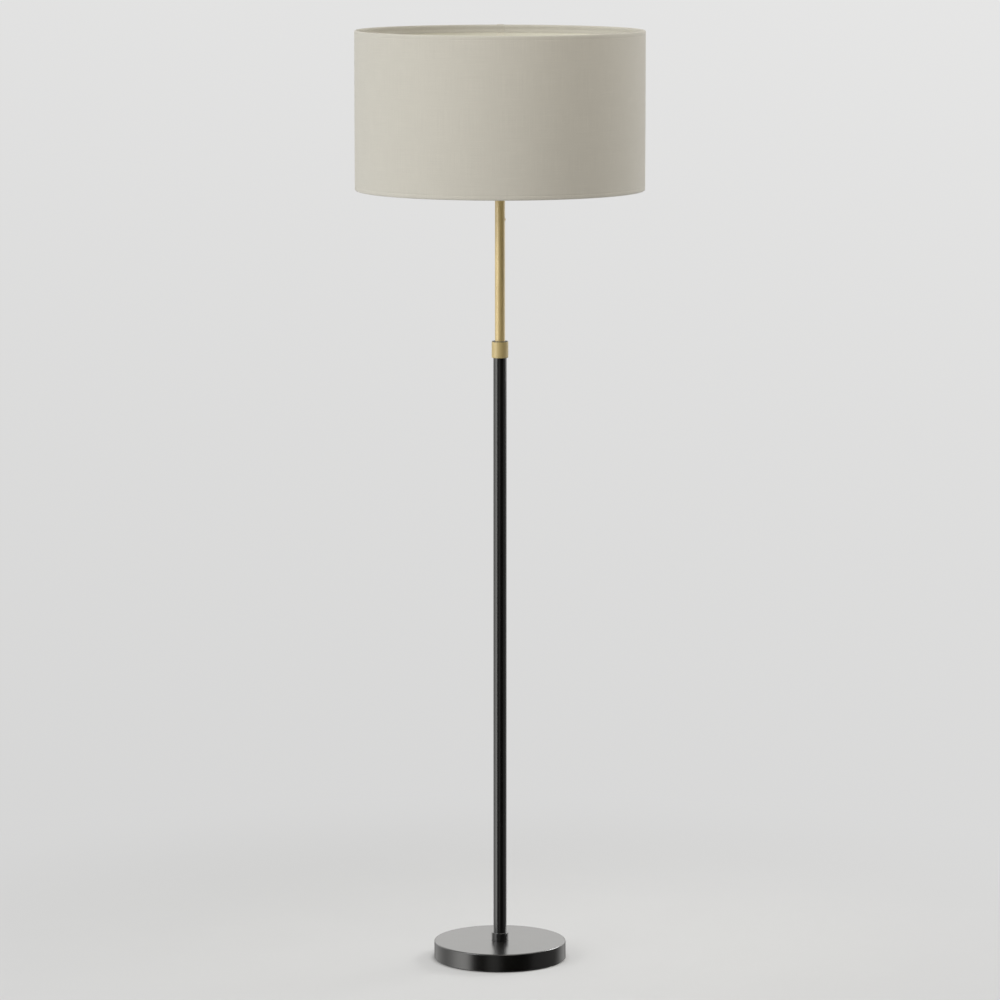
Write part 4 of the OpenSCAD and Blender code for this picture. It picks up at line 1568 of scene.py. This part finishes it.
@dataclass
class Lampholder(SubAssembly):
    """Cap, skirt, porcelain insert, screw shell, contact, screws and the two shade rings."""

    FINISHES = {
        "holder_nipple": ZINC, "holder_lock_nut": TURNED_BRASS, "holder_cap": THERMOSET,
        "holder_grub_screw": ZINC, "holder_skirt": THERMOSET, "holder_insert": PORCELAIN,
        "holder_screw_shell": NICKEL, "holder_contact": TURNED_BRASS, "terminal_screws": TURNED_BRASS,
        "shade_ring_lower": THERMOSET, "shade_ring_upper": THERMOSET,
    }
    wall: float = 2.0 * MM
    cap_floor: float = 3.5 * MM
    cap_foot: float = 12.0 * MM
    cap_foot_turn: float = 1.0 * MM
    shoulder_reach: float = 0.8
    shoulder_rise: float = 0.25
    shoulder_turn: float = 3.0 * MM
    painted_side_light: float = 0.55
    side_turn: float = 6.0 * MM
    inner_turn: float = 5.0 * MM
    spigot_play: float = 0.05 * MM
    skirt_mouth: float = 0.7 * MM
    skirt_edge: float = 0.9 * MM
    insert_edge: float = 0.8 * MM
    insert_mouth: float = 0.6 * MM
    skirt_thread: Thread = Thread(2.5 * MM, 0.7 * MM)
    plain_lip: float = 4.0 * MM
    insert_floor: float = 7.0 * MM
    shell_thread: Thread = Thread(3.6 * MM, 0.8 * MM, ThreadForm.ROLLED)
    strip: float = 0.6 * MM
    strip_bend: float = 0.5 * MM
    tongue: float = 7.0 * MM
    nut_chamfer: float = 0.5 * MM
    nipple_thread: Thread = Thread(1.0 * MM, 0.55 * MM)
    scallops: int = 12
    scallop_radius: float = 2.6 * MM
    scallop_depth: float = 1.0 * MM
    ring_edge: float = 0.6 * MM

    def build(self) -> None:
        """Builds the holder from its nipple up."""
        self.fit("holder_nipple", threaded_stud("holder_thread_nipple", "holder_nipple", self.nipple_thread))
        self.fit("holder_lock_nut", hexagon_nut("holder_clamp_nut", "holder_lock_nut", self.nut_chamfer))
        self.fit("holder_cap", self.cap())
        self.fit("holder_skirt", self.skirt())
        self.fit("holder_insert", self.insert())
        self.fit("holder_screw_shell", self.shell())
        self.fit("holder_contact", self.contact())
        for end in ("lower", "upper"):
            self.fit(f"shade_ring_{end}", self.ring(f"shade_clamp_ring_{end}", span(f"shade_ring_{end}")))

    def cap(self) -> Piece:
        """The cap, a rounded bell that opens upwards.

        Returns:
            The cap.
        """
        size = span("holder_cap")
        rise = size.high - size.low
        side = size.low + rise * self.painted_side_light
        shoulder = self.cap_foot + (size.radius - self.cap_foot) * self.shoulder_reach
        return turned("holder_cap_bell", rounded([
            Corner(size.bore, size.low),
            Corner(self.cap_foot, size.low, self.cap_foot_turn),
            Corner(shoulder, size.low + rise * self.shoulder_rise, self.shoulder_turn),
            Corner(size.radius, side, self.side_turn),
            Corner(size.radius, size.high, BOLD_EDGE),
            Corner(size.radius - self.wall, size.high, EDGE),
            Corner(size.radius - self.wall, side, self.inner_turn),
            Corner(self.cap_foot - self.wall, size.low + self.cap_floor, self.cap_foot_turn),
            Corner(size.bore, size.low + self.cap_floor),
        ]), 128)

    def skirt(self) -> Piece:
        """The skirt, threaded for the shade rings up to a plain lip.

        Returns:
            The skirt.
        """
        size, cap = span("holder_skirt"), span("holder_cap")
        spigot = cap.radius - self.wall - self.spigot_play
        blank = turned("holder_skirt_thread", rounded([
            Corner(size.bore, size.low, EDGE), Corner(spigot, size.low, EDGE),
            Corner(spigot, cap.high), Corner(size.radius, cap.high),
            Corner(size.radius, size.high, self.skirt_edge), Corner(size.bore, size.high, self.skirt_mouth),
        ]), 120, self.skirt_thread.pitch / 10)
        skin = size.radius - self.skirt_thread.depth
        return self.skirt_thread.cut(blank, THERMOSET, skin, cap.high, size.high - self.plain_lip)

    def insert(self) -> Piece:
        """The porcelain cup that carries the screw shell.

        Returns:
            The insert.
        """
        size, shell = span("holder_insert"), span("holder_screw_shell")
        wall = shell.radius + self.spigot_play
        floor = size.low + self.insert_floor
        return turned("porcelain_insert", rounded([
            Corner(0, size.low), Corner(size.radius, size.low, self.insert_edge),
            Corner(size.radius, size.high, self.insert_edge), Corner(wall, size.high, self.insert_mouth),
            Corner(wall, floor, BOLD_EDGE), Corner(0, floor),
        ]), 96)

    def shell(self) -> Piece:
        """The rolled screw shell.

        Returns:
            The shell.
        """
        size = span("holder_screw_shell")
        blank = turned("holder_rolled_shell", tube(size), 96, self.shell_thread.pitch / 12)
        return self.shell_thread.cut(blank, NICKEL, 0.0, size.low, size.high)

    def contact(self) -> Piece:
        """The centre contact, a stamped strip bent into a foot, a rise and a springing tongue.

        Returns:
            The contact.
        """
        low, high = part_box("holder_contact")
        inner, outer, tip = self.strip_bend, self.strip_bend + self.strip, self.strip * 0.3
        side = rounded([
            Corner(low.x, low.z, outer), Corner(high.x, low.z, tip), Corner(high.x, low.z + self.strip, tip),
            Corner(low.x + self.strip, low.z + self.strip, inner),
            Corner(low.x + self.strip, high.z - self.strip, inner),
            Corner(low.x + self.tongue, high.z - self.strip, tip), Corner(low.x + self.tongue, high.z, tip),
            Corner(low.x, high.z, outer),
        ])
        count = len(side)
        points = [(x, y, z) for y in (low.y, high.y) for x, z in side]
        faces = [tuple(range(count)), tuple(range(2 * count - 1, count - 1, -1))]
        faces += [(i, i + count, (i + 1) % count + count, (i + 1) % count) for i in range(count)]
        piece = close_up(mesh_object("holder_spring_contact", points, faces))
        edges = piece.modifiers.new("stamped_edges", "BEVEL")
        edges.width, edges.segments, edges.limit_method = self.strip * 0.2, 2, "ANGLE"
        edges.angle_limit = math.radians(60)
        return smoothed(settled(piece))

    def ring(self, name: str, size: Span) -> Piece:
        """A threaded ring with finger scallops round its rim.

        Args:
            name: The piece's name.
            size: Its radii and heights.

        Returns:
            The ring.
        """
        rim = span("shade_ring_lower").radius
        blank = turned(name, tube(replace(size, radius=rim), self.ring_edge, BOLD_EDGE), 288, 3 * MM)
        return grown(blank, scallop_tree(), THERMOSET, Rim_Radius=rim, Cutter_Radius=self.scallop_radius,
                     Depth=self.scallop_depth, Count=self.scallops)


@dataclass
class Bulb(SubAssembly):
    """Opal globe bulb with a screw cap."""

    FINISHES = {
        "bulb_globe": OPAL, "bulb_cap": NICKEL, "bulb_insulator": GLASS_BLACK, "bulb_contact": SOLDER,
    }
    glass: float = 0.8 * MM
    neck: float = 12.35 * MM
    neck_out: float = 2.0 * MM
    cap_wall: float = 0.8 * MM
    chamfer: float = 2.2 * MM
    chamfer_height: float = 2.6 * MM
    foot_ring: float = 2.0 * MM
    thread: Thread = Thread(3.6 * MM, 0.8 * MM, ThreadForm.ROLLED)
    plain_lip: float = 2.0 * MM

    def build(self) -> None:
        """Builds the globe and its cap."""
        self.fit("bulb_globe", self.globe())
        self.fit("bulb_cap", self.cap())

    def globe(self) -> Piece:
        """The glass: a sphere that runs into a straight neck.

        Returns:
            The globe.
        """
        size, cap = span("bulb_globe"), span("bulb_cap")
        centre = size.high - size.radius
        neck_top = cap.high + self.neck_out

        def half(radius: float, neck: float, foot: float) -> Outline:
            """Half the outline of one skin of the glass, from its crown down to its foot.

            Args:
                radius: The skin's radius.
                neck: The radius of its neck.
                foot: The height of its foot.

            Returns:
                Its points.
            """
            fall = centre - neck_top
            lean = math.atan2(neck, fall)
            touch = math.acos(radius / math.hypot(fall, neck))
            start = -math.pi / 2 + lean + touch
            crown = arc((0.0, centre), radius, math.pi / 2, start)
            return [(0.0, crown[0][1]), *crown[1:], (neck, neck_top), (neck, foot)]

        outer = half(size.radius, self.neck, size.low)
        inner = half(size.radius - self.glass, self.neck - self.glass, size.low)
        return turned("opal_globe", outer + inner[::-1], 96, 4 * MM)

    def cap(self) -> Piece:
        """The screw cap, rolled from thin sheet.

        Returns:
            The cap.
        """
        size = span("bulb_cap")
        foot = size.radius - self.chamfer
        inside = size.radius - self.cap_wall
        shoulder = size.low + self.chamfer_height
        blank = turned("bulb_rolled_cap", [
            (foot - self.foot_ring, size.low), (foot, size.low), (size.radius, shoulder),
            (size.radius, size.high), (inside, size.high), (inside, shoulder + self.cap_wall / 2),
            (foot - self.foot_ring, size.low + self.cap_wall),
        ], 96, self.thread.pitch / 12)
        skin = inside - self.cap_wall
        return self.thread.cut(blank, NICKEL, skin, shoulder, size.high - self.plain_lip)


@dataclass
class Shade(SubAssembly):
    """The drum: cloth rolled over two wire rings, its stiff liner, the tape and the wire carrier."""

    FINISHES = {
        "shade_fabric": DRUM_CLOTH, "shade_liner": LINER, "seam_tape": TAPE, "top_ring": WHITE_WIRE,
        "shade_carrier": WHITE_WIRE,
    }
    cloth: float = 0.8 * MM
    rim_wire: float = 1.75 * MM
    seat: float = 0.05 * MM
    hem_room: float = 0.35 * MM
    hem_slope: float = 7.0 * MM
    hem_flat: float = 6.0 * MM
    hem_waver: float = 0.6 * MM
    notch_wrap: float = math.radians(112)
    notch_half: float = 3.4 * MM
    notch_ease: float = 0.8 * MM
    lap: float = 12 * MM
    lap_gap: float = 0.02 * MM
    lap_ease: float = 2.5 * MM
    crease_drop: float = 5.4 * MM
    crease_depth: float = 0.24 * MM
    crease_width: float = 1.0 * MM
    bulge: float = 0.10 * MM
    wave: float = 0.22 * MM
    arms: int = 3
    arm_wire: float = 1.5 * MM
    bead: float = 2.1 * MM
    hub_edge: float = 0.4 * MM
    hub_reach: float = 3.5 * MM
    arm_inset: float = 1.2 * MM
    tape_width: float = 14 * MM
    rings_round: int = 361
    fine_step: float = 0.5 * MM
    wall_rows: Sequence[float] = (1.0, 2.2, 3.2, 4.0, 4.5, 5.0, 5.4, 5.8, 6.3, 6.9, 8.0, 12, 30, 60, 100)
    tail_steps: int = 24

    @property
    def middle(self) -> float:
        """The radius of the middle of the cloth round a rim wire."""
        return self.rim_wire + self.seat + self.cloth / 2

    def build(self) -> None:
        """Builds the drum and what carries it."""
        drum = span("shade_fabric")
        roll = self.rim_wire + self.seat + self.cloth
        self.rim = drum.radius - roll
        self.rim_low, self.rim_high = drum.low + roll, drum.high - roll
        self.fit("shade_fabric", self.drum_cloth(drum.radius))
        self.fit("shade_liner", self.liner())
        self.fit("seam_tape", self.tape())
        self.fit("top_ring", self.ring())
        self.fit("shade_carrier", self.carrier())

    def stations(self, radius: float) -> list[float]:
        """The angles at which the cloth has a column of points.

        Args:
            radius: The drum's radius.

        Returns:
            Angles from the cloth's first edge to its last, closer together at the arms and the lap.
        """
        start = math.pi / 2 - self.lap / 2 / radius
        end = start + math.tau + self.lap / radius
        angles = set(np.linspace(start, end, self.rings_round))
        fine = self.fine_step / radius
        for turn in range(-1, 2):
            for arm in range(self.arms):
                middle = math.pi / 2 + (turn + arm / self.arms) * math.tau
                angles.update(middle + fine * k for k in range(-10, 11))
            for edge in (start, start + self.lap / radius):
                angles.update(edge + turn * math.tau + fine * k for k in range(-8, 9))
        kept: list[float] = []
        for angle in sorted(a for a in angles if start <= a <= end):
            if not kept or angle - kept[-1] > fine / 3:
                kept.append(angle)
        kept[-1] = end
        return kept

    def tail(self) -> np.ndarray:
        """The way of the cloth from the wall round a rim wire and on to the liner's inside.

        Returns:
            Rows of the distance from the wire towards the drum's outside, the distance past the
            wire towards the drum's end, and the length along the cloth.
        """
        turns = np.linspace(0.0, math.pi, 40)
        bend = np.column_stack([np.cos(turns), np.sin(turns)]) * self.middle
        inside = span("shade_liner").bore - self.hem_room - self.cloth / 2 - self.rim
        share = np.linspace(0.0, 1.0, 20)[1:]
        ease = share * share * (3 - 2 * share)
        slope = np.column_stack([-self.middle + (inside + self.middle) * ease, -self.hem_slope * share])
        flat = np.array([[inside, -self.hem_slope - self.hem_flat]])
        way = np.vstack([bend, slope, flat])
        length = np.concatenate([[0.0], np.cumsum(np.hypot(*np.diff(way, axis=0).T))])
        return np.column_stack([way, length])

    def tail_end(self, angle: float, radius: float, reach: float) -> float:
        """How far the cloth goes along the lower tail: less where an arm leaves the wire.

        Args:
            angle: The angle about the drum's axis.
            radius: The drum's radius.
            reach: The whole tail's length.

        Returns:
            The tail's length at this angle.
        """
        pitch = math.tau / self.arms
        off = abs((angle - math.pi / 2 + pitch / 2) % pitch - pitch / 2) * radius
        open_share = min(1.0, max(0.0, (self.notch_half + self.notch_ease - off) / self.notch_ease))
        return reach - (reach - self.notch_wrap * self.middle) * open_share

    def column(self, angle: float, radius: float, tail: np.ndarray) -> np.ndarray:
        """The cloth's section at one angle, from the upper hem over the wall to the lower one.

        Args:
            angle: The angle about the drum's axis.
            radius: The drum's radius.
            tail: The cloth's way round a wire.

        Returns:
            Rows of radius, height, the two parts of the normal, and the length along the cloth.
        """
        height = self.rim_high - self.rim_low
        waver = self.hem_waver * (1 + 0.25 * sum(math.sin(k * angle + k) for k in (17, 41, 67, 97)))
        whole = tail[-1, 2]
        sway = 0.5 + 0.5 * math.sin(3 * angle + 0.6) * math.sin(7 * angle + 2.1)
        rows = []
        for along in np.linspace(whole - waver, 0.0, self.tail_steps + 1)[:-1]:
            out, past = (np.interp(along, tail[:, 2], tail[:, k]) for k in (0, 1))
            rows.append((self.rim + out, self.rim_high + past, whole - along))
        drops = [0.0, *(d * MM for d in self.wall_rows), height / 2]
        drops += [height - d for d in reversed(drops[:-1])]
        for drop in drops:
            near = min(drop, height - drop)
            dip = self.crease_depth * math.exp(-(((near - self.crease_drop) / self.crease_width) ** 2))
            rise = math.sin(math.pi * near / self.crease_drop)
            puff = self.bulge * rise if near < self.crease_drop else 0.0
            belly = self.wave * sway * math.sin(math.pi * drop / height)
            rows.append((self.rim + self.middle - dip + puff + belly, self.rim_high - drop, whole + drop))
        end = min(whole - waver, self.tail_end(angle, radius, whole))
        for along in np.linspace(0.0, end, self.tail_steps + 1)[1:]:
            out, past = (np.interp(along, tail[:, 2], tail[:, k]) for k in (0, 1))
            rows.append((self.rim + out, self.rim_low - past, whole + height + along))
        table = np.array(rows)
        across, up = np.gradient(table[:, 0]), np.gradient(table[:, 1])
        size = np.hypot(across, up)
        return np.column_stack([table[:, :2], -up / size, across / size, table[:, 2]])

    def lift_at(self, angle: float, start: float, radius: float) -> float:
        """How far the cloth's last stretch stands off its first one, which it laps.

        Args:
            angle: The angle about the drum's axis.
            start: The angle of the cloth's first edge.
            radius: The drum's radius.

        Returns:
            The distance.
        """
        before = (start + math.tau - angle) * radius
        share = min(1.0, max(0.0, (self.lap_ease - before) / self.lap_ease))
        return (self.cloth + self.lap_gap) * share * share * (3 - 2 * share)

    def drum_cloth(self, radius: float) -> Piece:
        """The cloth: one strip, glued round the liner, lapped at the rear and rolled over both wires.

        Args:
            radius: The drum's radius.

        Returns:
            The cloth.
        """
        angles = self.stations(radius)
        tail = self.tail()
        points, map_uv = [], []
        for angle in angles:
            lift = self.lift_at(angle, angles[0], radius)
            for r, z, across, up, along in self.column(angle, radius, tail):
                for side in (self.cloth / 2, -self.cloth / 2):
                    out = side + lift
                    reach = r + across * out
                    points.append((reach * math.cos(angle), reach * math.sin(angle), z + up * out))
                    map_uv.append(((angle - angles[0]) * radius, along))
        rows = len(points) // len(angles) // 2
        self.cut = ((angles[-1] - angles[0]) * radius, self.rim_high - self.rim_low + 2 * tail[-1, 2])
        step = 2 * rows
        faces = []
        for i in range(len(angles) - 1):
            here, there = i * step, (i + 1) * step
            for j in range(rows - 1):
                a, b = 2 * j, 2 * j + 2
                faces.append((here + a, here + b, there + b, there + a))
                faces.append((here + a + 1, there + a + 1, there + b + 1, here + b + 1))
            faces.append((here, there, there + 1, here + 1))
            last = step - 2
            faces.append((here + last, here + last + 1, there + last + 1, there + last))
        for base in (0, (len(angles) - 1) * step):
            for j in range(rows - 1):
                a = base + 2 * j
                faces.append((a, a + 1, a + 3, a + 2) if base == 0 else (a, a + 2, a + 3, a + 1))
        cloth = mesh_object("drum_shade_cloth", points, faces)
        layer = cloth.data.uv_layers.new(name="cloth")
        for loop in cloth.data.loops:
            layer.data[loop.index].uv = map_uv[loop.vertex_index]
        return close_up(cloth)

    def liner(self) -> Piece:
        """The stiff liner between the two rolls."""
        return turned("shade_stiff_liner", tube(span("shade_liner"), FINE_EDGE), 360, 0.05)

    def tape(self) -> Piece:
        """The tape over the liner's joint, inside at the rear.

        Returns:
            The tape.
        """
        low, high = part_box("seam_tape")
        reach = span("seam_tape")
        half = self.tape_width / 2 / reach.radius
        columns, rows = 13, 30
        turns = [math.pi / 2 + half * (2 * i / (columns - 1) - 1) for i in range(columns)]
        heights = [low.z + (high.z - low.z) * j / (rows - 1) for j in range(rows)]
        points = [(r * math.cos(turn), r * math.sin(turn), z)
                  for r in (reach.bore, reach.radius) for z in heights for turn in turns]
        layer = columns * rows
        faces = []
        for j in range(rows - 1):
            for i in range(columns - 1):
                a = j * columns + i
                quad = (a, a + 1, a + columns + 1, a + columns)
                faces += [quad, tuple(v + layer for v in reversed(quad))]
        border = [*range(columns), *(j * columns + columns - 1 for j in range(1, rows)),
                  *((rows - 1) * columns + i for i in range(columns - 2, -1, -1)),
                  *(j * columns for j in range(rows - 2, 0, -1))]
        for a, b in zip(border, border[1:] + border[:1]):
            faces.append((a, b, b + layer, a + layer))
        return close_up(mesh_object("liner_joint_tape", points, faces))

    def ring(self) -> Piece:
        """The wire ring in the upper roll."""
        wire = arc((self.rim, self.rim_high), self.rim_wire, 0, math.tau)
        return turned("upper_rim_wire", wire[:-1], 288)

    def carrier(self) -> Piece:
        """The lower rim wire, three arms and the hub plate that the rings clamp.

        Returns:
            The carrier.
        """
        below = span("shade_ring_lower")
        size = replace(span("shade_carrier"), radius=below.radius + self.hub_reach, low=below.high)
        plate = turned("welded_wire_carrier", tube(size, self.hub_edge), 96)
        return grown(plate, carrier_tree(), WHITE_WIRE, Rim_Radius=self.rim, Rim_Height=self.rim_low,
                     Hub_Radius=size.radius - self.arm_inset, Hub_Height=(size.low + size.high) / 2,
                     Rim_Wire=self.rim_wire, Arm_Wire=self.arm_wire, Bead=self.bead, Arms=self.arms)

    def dress(self) -> None:
        """Gives the shade its finishes."""
        super().dress()


# ---------- studio ----------


@dataclass(frozen=True)
class SoftBox:
    """A rectangular lamp with a soft cover, and how wide it spreads, in degrees."""

    name: str
    place: Place
    size: tuple[float, float]
    power: float
    aim: Place
    colour: Colour = (1.0, 1.0, 1.0)
    spread: float = 180.0

    def set_up(self) -> None:
        """Puts the lamp in place."""
        light = bpy.data.lights.new(self.name, "AREA")
        light.shape = "RECTANGLE"
        light.size, light.size_y = self.size
        light.energy = self.power
        light.color = self.colour
        light.spread = math.radians(self.spread)
        lamp = bpy.data.objects.new(self.name, light)
        bpy.context.scene.collection.objects.link(lamp)
        lamp.location = self.place
        lamp.rotation_euler = (Vector(self.aim) - lamp.location).to_track_quat("-Z", "Y").to_euler()
        lamp.visible_camera = False


@dataclass(frozen=True)
class Wall:
    """A soft pale wall of the studio, and the angles where it begins and ends.

    The angles are degrees from the front, to the right. It fades in from start to full, and out
    from fade to end.
    """

    glow: float
    start: float
    full: float
    fade: float
    end: float


@dataclass
class Studio:
    """Camera, floor, soft boxes and the light that the air of the studio gives from each side."""

    distance: float = 8978.5 * MM
    height: float = 2136.2 * MM
    pitch: float = 0.1374
    lens: float = 170.62
    sensor: float = 36.0
    floor_reach: float = 90.0
    floor_rings: int = 28
    floor_sides: int = 96
    near_grey: float = 0.672
    # Painted light in the background's grey: paler far off, and paler to the right than to the left.
    painted_far_light: float = 0.125
    half_way: float = 12.0
    painted_side_light: float = 0.15
    floor_tone: float = 0.62
    shadow_share: float = 0.5
    shadow_near: float = 0.35
    shadow_far: float = 1.6
    contact_reach: float = 11 * MM
    air_tint: Colour = (1.0, 0.993, 0.968)
    air_even: float = 0.01
    air_low: float = 0.08
    air_sky: float = 1.16
    sky_from: float = -0.05
    sky_full: float = 0.30
    air_top: float = 0.55
    top_from: float = 0.25
    top_full: float = 0.75
    rear_from: float = 94.0
    rear_full: float = 124.0
    walls: Sequence[Wall] = (
        Wall(1.70, -120.0, -66.0, -60.0, -47.0),
        Wall(0.13, 48.0, 66.0, 94.0, 124.0),
        Wall(0.20, -30.0, -15.0, -6.0, 6.0),
        Wall(0.40, -172.0, -150.0, -124.0, -90.0),
        Wall(0.40, 112.0, 138.0, 150.0, 172.0),
    )
    lamps: Sequence[SoftBox] = (
        SoftBox("key_left_front", (-2.85, -2.15, 2.4), (1.6, 1.6), 59.0, (0.0, 0.0, 1.2),
                (0.97, 0.985, 1.0)),
        SoftBox("fill_right", (2.35, 1.2, 1.6), (1.3, 1.3), 12.0, (0.0, 0.0, 1.2)),
        SoftBox("front_high", (0.8, -1.5, 3.0), (1.2, 1.2), 13.5, (0.0, 0.0, 1.6), (1.0, 0.93, 0.84)),
        SoftBox("rim_right", (2.0, 1.5, 1.9), (1.0, 1.0), 2.2, (0.0, 0.0, 0.02), spread=40.0),
        SoftBox("rear_high", (1.2, 0.3, 3.2), (1.6, 1.6), 6.5, (0.0, 0.0, 1.2)),
    )

    def set_up(self) -> None:
        """Sets up the whole studio."""
        self.camera()
        self.floor()
        self.world()
        for lamp in self.lamps:
            lamp.set_up()
        bpy.context.scene.view_settings.view_transform = "Standard"

    def camera(self) -> None:
        """The camera, as far and as high as the round rims in the photograph say."""
        data = bpy.data.cameras.new("camera")
        data.lens, data.sensor_width = self.lens, self.sensor
        data.clip_start, data.clip_end = 0.05, 4 * self.floor_reach
        camera = bpy.data.objects.new("camera", data)
        bpy.context.scene.collection.objects.link(camera)
        camera.location = (0.0, -self.distance, self.height)
        camera.rotation_euler = (math.pi / 2 - self.pitch, 0.0, 0.0)
        bpy.context.scene.camera = camera

    def air(self, graph: ShaderGraph, x: Value, y: Value, z: Value) -> Value:
        """How bright the studio is in a direction.

        Args:
            graph: The world's tree.
            x: The direction's part to the right.
            y: The direction's part to the rear.
            z: The direction's part upwards.

        Returns:
            The radiance: a bright wall on the left and behind, a dim one on the right, dark in front.
        """
        turn = graph.math("DEGREES", graph.math("ARCTAN2", x, y * -1.0))
        behind = graph.spread(abs(turn), self.rear_from, self.rear_full, smooth=True)
        sky = graph.spread(z, self.sky_from, self.sky_full, self.air_low, self.air_sky)
        level = behind * sky + self.air_even
        for wall in self.walls:
            rise = graph.spread(turn, wall.start, wall.full, smooth=True)
            fall = graph.spread(turn, wall.fade, wall.end, 1.0, 0.0, smooth=True)
            level = rise * fall * wall.glow + level
        above = graph.spread(z, self.top_from, self.top_full, smooth=True)
        return level * (1.0 - above) + above * self.air_top

    def floor(self) -> None:
        """A pale floor that runs out to the horizon and keeps the lamp's shadow.

        The camera and glass see its own grey, with painted light that makes it paler towards the
        horizon and paler to the right than to the left. What the lamps make of it is mixed in by half
        near the lamp, and in full at the foot of the base, where the shadow is darkest. Gloss sees the
        studio's walls instead, as if they went on below the floor, and soft light comes back from it.
        """
        sides = self.floor_sides
        rings = np.geomspace(0.3, self.floor_reach, self.floor_rings)
        points = [(0.0, 0.0, 0.0)] + [
            (r * math.cos(math.tau * i / sides), r * math.sin(math.tau * i / sides), 0.0)
            for r in rings for i in range(sides)
        ]
        faces = [(0, 1 + i, 1 + (i + 1) % sides) for i in range(sides)]
        for k in range(len(rings) - 1):
            a, b = 1 + k * sides, 1 + (k + 1) * sides
            faces += [(a + i, b + i, b + (i + 1) % sides, a + (i + 1) % sides) for i in range(sides)]
        floor = mesh_object("floor", points, faces)
        material = bpy.data.materials.new("pale_floor")
        material.use_nodes = True
        graph = ShaderGraph(material.node_tree)
        x, y, _ = graph.split(graph.place())
        reach = graph.math("MAXIMUM", graph.math("SQRT", x * x + y * y), 0.01)
        far = reach / (reach + self.half_way)
        # Painted light: the grey grows paler towards the horizon and towards the right.
        grey = far * self.painted_far_light + self.near_grey + x / reach * (far * self.painted_side_light)
        shown = graph.value("ShaderNodeEmission", {"Color": (1.0, 0.999, 0.995, 1.0), "Strength": grey})
        tone = (self.floor_tone, self.floor_tone, self.floor_tone * 0.99)
        grain = graph.toned(graph.noise(graph.place(), 6.0, 4.0), tone, 0.97, 1.03)
        matt = graph.value("ShaderNodeBsdfDiffuse", {"Color": grain})
        foot = span("base_cover").radius
        near = graph.spread(reach, self.shadow_near, self.shadow_far, 1.0 - self.shadow_share, smooth=True)
        near = near * graph.spread(reach, foot, foot + self.contact_reach, smooth=True)
        mixed = graph.value("ShaderNodeMixShader", {0: graph.seen() * near, 1: matt, 2: shown})
        graph.add("ShaderNodeOutputMaterial", {"Surface": mixed})
        floor.data.materials.append(material)
        floor.visible_glossy = False

    def world(self) -> None:
        """The studio's air, and the background's grey above the horizon, with painted light that makes it
        paler to the right.
        """
        world = bpy.data.worlds.new("studio_air")
        world.use_nodes = True
        bpy.context.scene.world = world
        graph = ShaderGraph(world.node_tree)
        x, y, z = graph.split(graph.value("ShaderNodeTexCoord", output="Generated"))
        seen = graph.seen()
        level = seen * (self.near_grey + self.painted_far_light) + self.air(graph, x, y, z) * (1.0 - seen)
        # Painted light: the background that the camera sees is paler to the right than to the left.
        level = level + seen * x * self.painted_side_light
        tint = graph.blend(seen, self.air_tint, (1.0, 1.0, 1.0))
        air = graph.value("ShaderNodeBackground", {"Color": tint, "Strength": level})
        graph.add("ShaderNodeOutputWorld", {"Surface": air})


def write_sizes() -> None:
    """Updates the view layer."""
    bpy.context.view_layer.update()


def main() -> None:
    """Sets up the studio, then builds and dresses the lamp from the floor up."""
    logging.basicConfig(level=logging.INFO, format="%(message)s")
    Studio().set_up()
    for part in (Base(), CordInlet(), Pole(), Lock(), Mast(), Lampholder(), Bulb(), Shade()):
        log.info("-- %s", type(part).__name__)
        part.build()
        part.dress()
    write_sizes()


if __name__ == "__main__":
    main()
